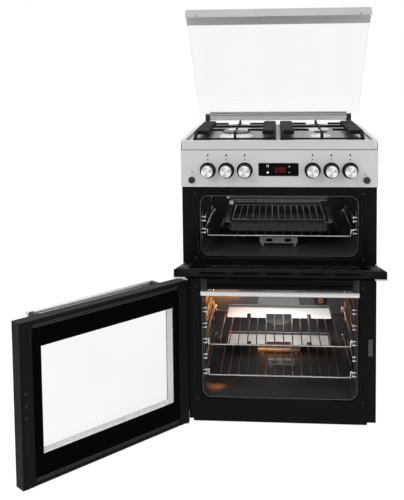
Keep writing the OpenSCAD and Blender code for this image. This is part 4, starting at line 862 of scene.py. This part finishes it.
def makeSupportRibs():
    # low crowned ribs across the supports' side plates
    shape = ribShape
    z0, z1 = shape["height"]
    for side, node, name in ((0, "pan_support_left", "padRibsLeft"),
                             (1, "pan_support_right", "padRibsRight")):
        ribs = []
        for span in shape["across"]:
            a, b = bothSides(*span)[side]
            for y0, y1 in shape["along"]:
                rib = addBlock("rib", (a, y0, z0), (b, y1, z1))
                stepFaces(rib, facing(2, 1), shape["steps"])
                ribs.append(smoothed(rib, 50))
        fitted(joined(name, ribs), node, "castBlack")


def makeLid():
    shape = lidShape
    turn = turnAbout(shape["hinge"], "X", shape["angle"])
    dressAll(lidPieces)
    # a thin plate on the bar's underside, paler than the bar: painted light
    face = roundEdges(addBlock("hingeBarPaintedLight", *shape["barFace"]), 0.15, 1)
    fitted(turned(face, turn), "lid_hinge_bar", "barPale")
    # a thin plate on the trim's front face, darker than the trim: painted shade
    face = roundEdges(addBlock("lidTrimFace", *shape["trimFace"]), 0.1, 1)
    fitted(turned(face, turn), "lid_front_trim", "trimShade")
    stops = [addDisc("stop", place, *shape["stop"]) for place in shape["stops"]]
    fitted(turned(smoothed(joined("lidStops", stops)), turn), "lid_front_trim", "gapShadeAndStopBlack")


makeHob()
makeSupportRibs()
makeLid()
print("hob and lid done")


# doors, drawn shut and turned open; a corner is (x, z)

topDoor = {
    "turn": turnAbout((0, -4.5, 510.5), "X", 79.6), "frameEdge": 0, "pane": "windowDim",
    "outer": ((-297, 502), (297, 751)), "outerY": (-22, -18), "inner": ((-266, 535), (266, 718)),
    "window": ((-236, 562), (236, 698)), "handle": (-67, 706)}
mainDoor = {
    "turn": turnAbout((-292.5, -4.5, 0), "Z", -132), "frameEdge": 0.8, "pane": "clearGlass",
    "outer": ((-297, 9), (297, 466)), "outerY": (-34, -30), "inner": ((-272, 42), (272, 433)),
    "window": ((-237, 91), (231, 390)), "handle": (-79, 457)}
doorShape = {
    "innerY": (-2.7, 1.3), "glassEdge": 0.5, "paneGap": 0.05, "paneInset": 0.1,
    "paneSteps": [(0.3, 0.08)], "channelWall": 2.0, "channelEdge": 0.3, "bracketEdge": 1.0,
    "handleReach": 223, "handleSize": 15, "handleSteps": [(0.3, 0.0), (0.7, 0.5), (1.2, 0.3)]}
# a pair of blocks is its near and far x, its y and z, its edge and segments
topTrim = {
    "caps": ((263, 296.5), (-22.2, -18.4), (750.95, 752.0), 0.3, 1),
    "cheeks": ((291.02, 296.5), (-17.6, 2.6), (532, 750.6), 0.8, 2),
    "vent": ((-34.9, -8.95, 748.6), (34.9, -4.05, 750.5)), "ventPitch": 93,
    "ventSteps": [(0.5, -0.3)], "screwSize": (6.5, 1.2),
    "screws": [(x, 3, z) for x in (-275, 275) for z in (527, 627, 728)]}
mainTrim = {
    "strips": (259, 290.5), "stripY": (3.0, 4.3), "stripZ": (16, 459),
    "stripSteps": [(1.2, 0.5), (5.5, 0.0), (0.6, -0.9), (7.0, 0.0)],
    "footIn": 8.3, "foot": ((3.0, 4.6), 14, 32, [(1.0, 0.3)], 1),
    "face": ((-258, 31), (258, 443)), "faceY": (1.4, 3.15), "faceEdge": 0.15,
    "lines": (22.5, 28.0, 446.0, 451.5), "lineHalf": (255, 0.45), "lineY": (2.9, 3.2),
    "holes": [(283, 273), (283, 238), (283, 206)],
    "hole": ((4.2, 4.95), 7, 24, [(1.2, 0.0), (0.1, -0.5)], 1)}


def ringPlate(name, corners, hole, y, edge, segments=2):
    # plate with a window cut out
    plate = addPlate(name, corners, y)
    openWindow(plate, *hole)
    return roundEdges(outwards(plate), edge, segments)


def grown(corners, wall):
    (x0, z0), (x1, z1) = corners
    return (x0 - wall, z0 - wall), (x1 + wall, z1 + wall)


def glassPane(name, hole, y):
    inset = doorShape["paneInset"]
    pane = addPlate(name, grown(hole, -doorShape["paneGap"]), (y[0] + inset, y[1] - inset))
    for sign in (-1, 1):
        stepFaces(pane, facing(1, sign), doorShape["paneSteps"])
    return pane


def makeDoor(key, shape):
    node, turn, window = key + "_door_", shape["turn"], shape["window"]
    outerY, innerY, inset = shape["outerY"], doorShape["innerY"], doorShape["paneInset"]
    dressed(node + "frame", "doorBlack", shape["frameEdge"], flats=shape["frameEdge"] > 0)
    for side, name, y in (("outer", "Glass", outerY), ("inner", "Inner", innerY)):
        glass = node + side + "_glass"
        border = ringPlate(key + name + "Border", shape[side], window, y, doorShape["glassEdge"])
        fitted(turned(border, turn), glass, "borderGlass", [glass])
        fitted(turned(glassPane(key + name + "Window", window, y), turn), glass, shape["pane"])
    # pale profile between the two glasses, round the window
    channel = ringPlate(key + "Channel", grown(window, doorShape["channelWall"]), window,
                        (outerY[1] + inset, innerY[0] - inset), doorShape["channelEdge"], 1)
    fitted(turned(channel, turn), node + "outer_glass", "channelGrey")
    handle = barAcross(key + "Handle", shape["handle"], doorShape["handleReach"],
                       doorShape["handleSize"], 48, doorShape["handleSteps"])
    handle = turned(smoothed(outwards(handle), 30), turn)
    fitted(handle, node + "handle", "handleMetal", [node + "handle"])
    dressed(node + "brackets", "blackPlastic", doorShape["bracketEdge"],
            name=key + "HandleBrackets")


def screwHead(place, sign, diameter, height):
    # domed head with a round recess, that faces along y
    x, y, z = place
    steps = [(diameter * 0.08, height * 0.3), (diameter * 0.14, height * 0.2),
             (diameter * 0.14, 0.0), (0.05, -height * 0.35)]
    head = addDisc("screw", (x, z), (y - sign * 0.1, y + sign * height * 0.5), diameter, 24,
                   steps, sign)
    return smoothed(head, 35)


def pairOfBlocks(name, span, y, z, edge, segments):
    pair = [addBlock("block", *zip(x, y, z)) for x in bothSides(*span)]
    return joined(name, [roundEdges(block, edge, segments) for block in pair])


def makeTopDoorTrim():
    shape, turn = topTrim, topDoor["turn"]
    caps = pairOfBlocks("topGlassCaps", *shape["caps"])
    fitted(turned(caps, turn), "top_door_handle", "trimSilver")
    # near-black plates sunk in the door's vent slots: painted shade inside them
    vent = addBlock("vent", *shape["vent"])
    stepFaces(vent, facing(2, 1), shape["ventSteps"])
    vents = repeated("topDoorVents", vent, [(shape["ventPitch"] * i, 0, 0) for i in (-2, -1, 1, 2)])
    fitted(turned(vents, turn), "top_door_frame", "ventDark")
    cheeks = pairOfBlocks("topDoorCheeks", *shape["cheeks"])
    fitted(turned(cheeks, turn), "top_door_frame", "doorBlack")
    screws = [screwHead(place, 1, *shape["screwSize"]) for place in shape["screws"]]
    fitted(turned(joined("topDoorScrews", screws), turn), "top_door_frame", "screwDark")


def makeMainDoorTrim():
    shape, turn = mainTrim, mainDoor["turn"]
    z = shape["stripZ"]
    strips = []
    for a, b in bothSides(*shape["strips"]):
        strip = addPlate("strip", ((a, z[0]), (b, z[1])), shape["stripY"])
        stepFaces(strip, facing(1, 1), shape["stripSteps"])
        strips.append(roundEdges(strip, 0.3, 1))
        for x in (a + shape["footIn"], b - shape["footIn"]):
            strips.append(smoothed(addDisc("foot", (x, z[0]), *shape["foot"]), 35))
    fitted(turned(joined("mainDoorStrips", strips), turn), "main_door_frame", "stripBlack")
    sheet = ringPlate("mainInnerFace", shape["face"], mainDoor["window"], shape["faceY"],
                      shape["faceEdge"])
    fitted(turned(sheet, turn), "main_door_inner_glass", "borderGlass")
    half, thin = shape["lineHalf"]
    lines = [addPlate("line", ((-half, z - thin), (half, z + thin)), shape["lineY"])
             for z in shape["lines"]]
    lines = joined("mainDoorLines", [roundEdges(line, 0.08, 1) for line in lines])
    fitted(turned(lines, turn), "main_door_frame", "lineGrey")
    holes = [addDisc("hole", place, *shape["hole"]) for place in shape["holes"]]
    fitted(turned(smoothed(joined("mainDoorLatches", holes)), turn), "main_door_frame",
           "screwDark")


makeDoor("top", topDoor)
makeDoor("main", mainDoor)
makeTopDoorTrim()
makeMainDoorTrim()
print("doors done")


# cabinet front and ovens

frontPieces = {"front_frame": ("frontEnamel", 0.8), "catch_plate": ("catchDark", 0.3, 1)}
frontShape = {
    "screws": [(x, 8, z) for z in (735, 532, 441, 80) for x in (-257, 257)],
    "screwSize": (5.5, 1.2), "corner": 27.5, "bead": 1.1, "beadY": (6.9, 8.1),
    "mouths": {"topMouthBead": ((-242.5, 540.5), (242.5, 728.5)),
               "mainMouthBead": ((-240.5, 87.5), (240.5, 433.5))}}
linerPieces = {"top_oven_liner": ("ovenEnamel", 0.4), "main_oven_liner": ("ovenEnamel", 0.4)}
ovenPieces = {
    "floor_brackets": ("plateGrey", 0.3, 1, "floorStands"), "grill_burner": ("burnerSteel", 0.8),
    "main_burner": ("burnerSteel", 0.5), "oven_lamp": ("lampRing", 0.8)}
grillPieces = {"grill_pan": ("panEnamel", 0.8), "grill_shelf": ("chromeWire", 0),
               "grill_trivet": ("trivetWire", 0)}
ovenShape = {
    "boss": ((0, 262), (414, 413.2), 151, 96, [(2.2, 0.0), (0.3, -0.5)]),
    "lens": ((150, 278), (411, 409.6), 22, 32, [(2.0, 1.2), (4.0, 0.6)]),
    "igniter": ((-156, 88.5, 686.5), (-143, 92.5, 699)),
    "igniterSteps": [(0.6, 0.6), (2.5, 0.0), (0.5, -0.6)],
    "bar": ((93.5, 700.5), 150, 4.4, 32, [(0.5, 0.4), (0.8, 0.2)])}
rackShape = {
    "postX": (233.4, 235.5), "postSplit": 450, "postY": 36,
    "endX": (229.0, 241.0), "endY": 19.6, "endSize": 4.2, "endSteps": [(0.4, 0.3), (0.6, 0.2)],
    "rungs": [158.2, 170.4, 208.2, 220.4, 258.2, 270.4, 308.2, 320.4, 358.2, 370.4, 609.2, 621.4,
              647.2, 659.4]}
shelfShape = {
    "heights": {"upper": 246, "lower": 146}, "plateX": 181, "plateY": (302.5, 415.5),
    "plateZ": 2.1, "plateEdge": 0.35, "lipX": 179.6, "lipY": (413.4, 413.85), "lipZ": (4, 12.8)}


def makeFront():
    shape = frontShape
    dressAll(frontPieces)
    screws = [screwHead(place, -1, *shape["screwSize"]) for place in shape["screws"]]
    fitted(joined("frontScrews", screws), "front_frame", "screwDark")
    for name, corners in shape["mouths"].items():
        # thin rounded bead round an oven mouth
        bead = addPlate(name, corners, shape["beadY"])
        roundCorners(bead, shape["corner"], 14)
        pickFaces(bead, lambda middle, normal: abs(normal[1]) > 0.9)
        bpy.ops.mesh.inset(thickness=shape["bead"] * mm)
        bpy.ops.mesh.delete(type="FACE")
        bridgeOpenEdges()
        fitted(smoothed(outwards(bead), 50), "front_frame", "beadGrey")


def makeRacks():
    shape = rackShape
    low, high = shape["postX"]

    def onPost(middle, normal):
        # the front posts get a dark grey: painted shade behind the mouths' edges
        beyond = low if middle[2] < shape["postSplit"] else high
        return abs(middle[0]) > beyond and middle[1] < shape["postY"]

    rungs = fromNode("oven_side_racks", "rackRungs")
    posts = fromNode("oven_side_racks", "rackPosts")
    splitFaces(rungs, posts, onPost)
    fitted(smoothed(rungs), "oven_side_racks", "chromeWire", ["oven_side_racks"])
    fitted(smoothed(posts), "oven_side_racks", "wireDark")
    # the rungs' front ends turn out to the walls
    y, (z, *others) = shape["endY"], shape["rungs"]
    pair = []
    for (a, b), sign in zip(reversed(bothSides(*shape["endX"])), (1, -1)):
        end = addRod("rackEnd", (a, y, z), (b, y, z), shape["endSize"], 24)
        stepFaces(end, facing(0, sign), shape["endSteps"])
        pair.append(smoothed(end, 35))
    ends = repeated("rackEnds", joined("rackEnd", pair), [(0, 0, other - z) for other in others])
    fitted(ends, "oven_side_racks", "chromeWire")


def makeOvens():
    shape = ovenShape
    dressAll(linerPieces)
    makeRacks()
    dressAll(ovenPieces)
    # a dark ring round the back wall's boss: painted shade at its edge
    ring = smoothed(addDisc("bossRing", *shape["boss"]), 50)
    fitted(ring, "main_oven_liner", "lineGrey")
    fitted(smoothed(addDisc("lampLens", *shape["lens"]), 50), "oven_lamp", "lampAmber")
    dressAll(grillPieces)
    igniter = addBlock("grillIgniter", *shape["igniter"])
    stepFaces(igniter, facing(1, -1), shape["igniterSteps"])
    fitted(igniter, "spark_electrodes", "porcelain")
    bar = smoothed(barAcross("grillFrontBar", *shape["bar"]), 35)
    fitted(bar, "grill_burner", "steelDrawn")


def makeShelf(key, height):
    # the plate at the rear is a piece of its own, for its brushed finish
    shape, node, name = shelfShape, key + "_shelf", key + "Shelf"
    front, back = shape["plateY"]
    wires = fromNode(node, name + "Wires")
    plate = fromNode(node, name + "Plate")
    splitFaces(wires, plate, lambda middle, normal: (
        abs(middle[0]) < shape["plateX"] and front < middle[1] < back
        and middle[2] > height + shape["plateZ"]))
    fitted(smoothed(wires), node, "chromeWire", [node])
    fitted(roundEdges(outwards(plate), shape["plateEdge"], 1), node, "shelfPlate")
    # a thin dark sheet on the plate's rear lip: painted shade
    half, (z0, z1) = shape["lipX"], shape["lipZ"]
    lip = addPlate(name + "Lip", ((-half, height + z0), (half, height + z1)), shape["lipY"])
    fitted(roundEdges(lip, 0.1, 1), node, "wireDark")


makeFront()
makeOvens()
for key, height in shelfShape["heights"].items():
    makeShelf(key, height)
print("front and ovens done")


# sides, back and underside

casePieces = {
    "side_panel_left": ("cabinetBlack", 0.8), "side_panel_right": ("cabinetBlack", 0.8),
    "rear_cover": ("galvanised", 0.3, 1), "base_tray": ("galvanised", 0.4, 1),
    "adjustable_feet": ("blackPlastic", 0.8),
    "door_hinge_brackets": ("galvanised", 0.4, 1, "hingeBrackets"),
    "gas_inlet": ("brassPipe", 0.4), "cable_gland": ("blackPlastic", 0.5)}
rearScrews = {
    "y": 598.5, "size": (8, 1.6), "places": [
        (x, z) for x in (-286, 286) for z in (30, 300, 560, 860)] + [(-100, 862), (100, 862)]}


def makeCase():
    dressAll(casePieces)
    screws = [screwHead((x, rearScrews["y"], z), 1, *rearScrews["size"])
              for x, z in rearScrews["places"]]
    fitted(joined("rearScrews", screws), "rear_cover", "screwSteel")


makeCase()
print("case done")


# floor, light and camera

studio = {
    "floorSize": 40.0, "floorHeight": -0.0002, "floorColour": 0.86, "floorRough": 0.9,
    "floorGlow": 0.84, "floorWhite": 1.14, "worldLight": 0.45, "shade": 0.3,
    "shadeFrom": -0.5, "shadeTo": 0.15, "skyFrom": 0.15, "skyTo": 0.7}
white = (1, 1, 1, 1)


def makeFloor():
    deselectAll()
    bpy.ops.mesh.primitive_plane_add(size=studio["floorSize"],
                                     location=(0, 0, studio["floorHeight"]))
    floor = bakePlace(named(bpy.context.object, "studioFloor"))
    look, tree, shader = newLook("floorWhite")
    setInputs(shader, {"Base Color": (*grey(studio["floorColour"]), 1),
                       "Roughness": studio["floorRough"]})
    # the camera, mirrors and glass see the floor nearly white
    bright = addNode(tree, "Emission", (white, studio["floorWhite"])).outputs[0]
    rays = addNode(tree, "LightPath").outputs
    glassy = mathNode(tree, "MAXIMUM", rays["Is Glossy Ray"], rays["Is Transmission Ray"])
    seen = mathNode(tree, "MAXIMUM", rays["Is Camera Ray"], glassy)
    share = mathNode(tree, "MULTIPLY", seen, studio["floorGlow"])
    mixed = addNode(tree, "MixShader", (share, shader.outputs[0], bright)).outputs[0]
    setInputs(tree.nodes["Material Output"], {"Surface": mixed})
    floor.data.materials.append(look)


def makeWorld():
    world = bpy.data.worlds.new("studioWorld")
    bpy.context.scene.world = world
    world.use_nodes = True
    tree = world.node_tree
    tree.nodes.clear()
    # what metal and gloss mirror: white behind and above the cooker, darker in front of it
    coords = addNode(tree, "TexCoord").outputs["Generated"]
    parts = addNode(tree, "SeparateXYZ", [coords]).outputs
    front = rangeNode(tree, parts["Y"], studio["shadeFrom"], studio["shadeTo"], studio["shade"])
    above = rangeNode(tree, parts["Z"], studio["skyFrom"], studio["skyTo"])
    lit = mathNode(tree, "MAXIMUM", front, above)
    mirrored, room, plain = (addNode(tree, "Background", (white, strength)).outputs[0]
                             for strength in (lit, studio["worldLight"], 1.0))
    rays = addNode(tree, "LightPath").outputs
    around = addNode(tree, "MixShader", (rays["Is Glossy Ray"], room, mirrored)).outputs[0]
    direct = mathNode(tree, "MAXIMUM", rays["Is Camera Ray"], rays["Is Transmission Ray"])
    final = addNode(tree, "MixShader", (direct, around, plain)).outputs[0]
    addNode(tree, "OutputWorld", {"Surface": final})


warm, orange, red = (1, 0.98, 0.95), (1, 0.36, 0.08), (1, 0.3, 0.12)
# name: (place, target, size, watts, colour, spread)
lamps = {
    "keyLamp": ((-1.6, -2.6, 2.6), (0, 0.1, 0.6), (1.6, 1.6), 55),
    "fillLamp": ((2.2, -2.4, 1.6), (0, 0.1, 0.5), (1.8, 1.8), 28),
    "topLamp": ((0, 0.2, 4), (0, 0.25, 0.9), (2.6, 2.6), 62),
    "grillCeilingLamp": ((0, 0.33, 0.715), (0, 0.3, 0.55), (0.36, 0.08), 0.25),
    "ovenCeilingLamp": ((0, 0.22, 0.427), (0, 0.3, 0.1), (0.36, 0.22), 0.25),
    "ovenFrontLamp": ((0, 0.045, 0.424), (0, 0.36, 0.24), (0.34, 0.02), 0.48, warm, 60),
    "ovenRearLamp": ((0, 0.34, 0.427), (0, 0.34, 0.1), (0.32, 0.06), 0.1, warm, 70),
    "leftWallGlow": ((-0.185, 0.3, 0.35), (-0.24, 0.32, 0.355), (0.36, 0.16), 4.0, orange, 80),
    "leftFloorGlow": ((-0.195, 0.09, 0.125), (-0.205, 0.085, 0.088), (0.02, 0.04), 0.03,
                      orange, 90),
    "rightWallGlow": ((0.19, 0.25, 0.33), (0.24, 0.25, 0.325), (0.3, 0.16), 0.25, red, 100),
    "burnerGlow": ((-0.05, 0.31, 0.135), (0.0, 0.385, 0.112), (0.12, 0.02), 0.16, orange, 100),
}


def addLamp(name, place, target, size, watts, colour=(1, 1, 1), spread=180):
    data = bpy.data.lights.new(name, "AREA")
    data.shape = "RECTANGLE"
    data.size, data.size_y = size
    data.energy = watts
    data.color = colour
    data.spread = math.radians(spread)
    lamp = newObject(name, data)
    lamp.location = place
    lamp.rotation_mode = "QUATERNION"
    lamp.rotation_quaternion = (Vector(target) - Vector(place)).to_track_quat("-Z", "Y")


photo = {"height": 500, "focal": 820.2, "axisRow": 120, "sensor": 36.0, "yaw": 5.129,
         "pitch": -4.58, "roll": 0.673, "place": (-8.802, -2494.218, 1164.322)}


def makeCamera():
    data = bpy.data.cameras.new("studioCamera")
    camera = newObject("studioCamera", data)
    bpy.context.scene.camera = camera
    data.sensor_width = photo["sensor"]
    data.lens = photo["focal"] / photo["height"] * photo["sensor"]
    data.shift_y = (photo["axisRow"] - photo["height"] / 2) / photo["height"]
    data.clip_end = 100
    turn = (Matrix.Rotation(math.radians(photo["yaw"]), 4, "Z")
            @ Matrix.Rotation(math.radians(90 + photo["pitch"]), 4, "X")
            @ Matrix.Rotation(math.radians(-photo["roll"]), 4, "Z"))
    camera.matrix_world = Matrix.Translation(inMetres(photo["place"])) @ turn


makeFloor()
makeWorld()
for name, lamp in lamps.items():
    addLamp(name, *lamp)
makeCamera()
view = bpy.context.scene.view_settings
view.view_transform = "Standard"
print("studio ready")
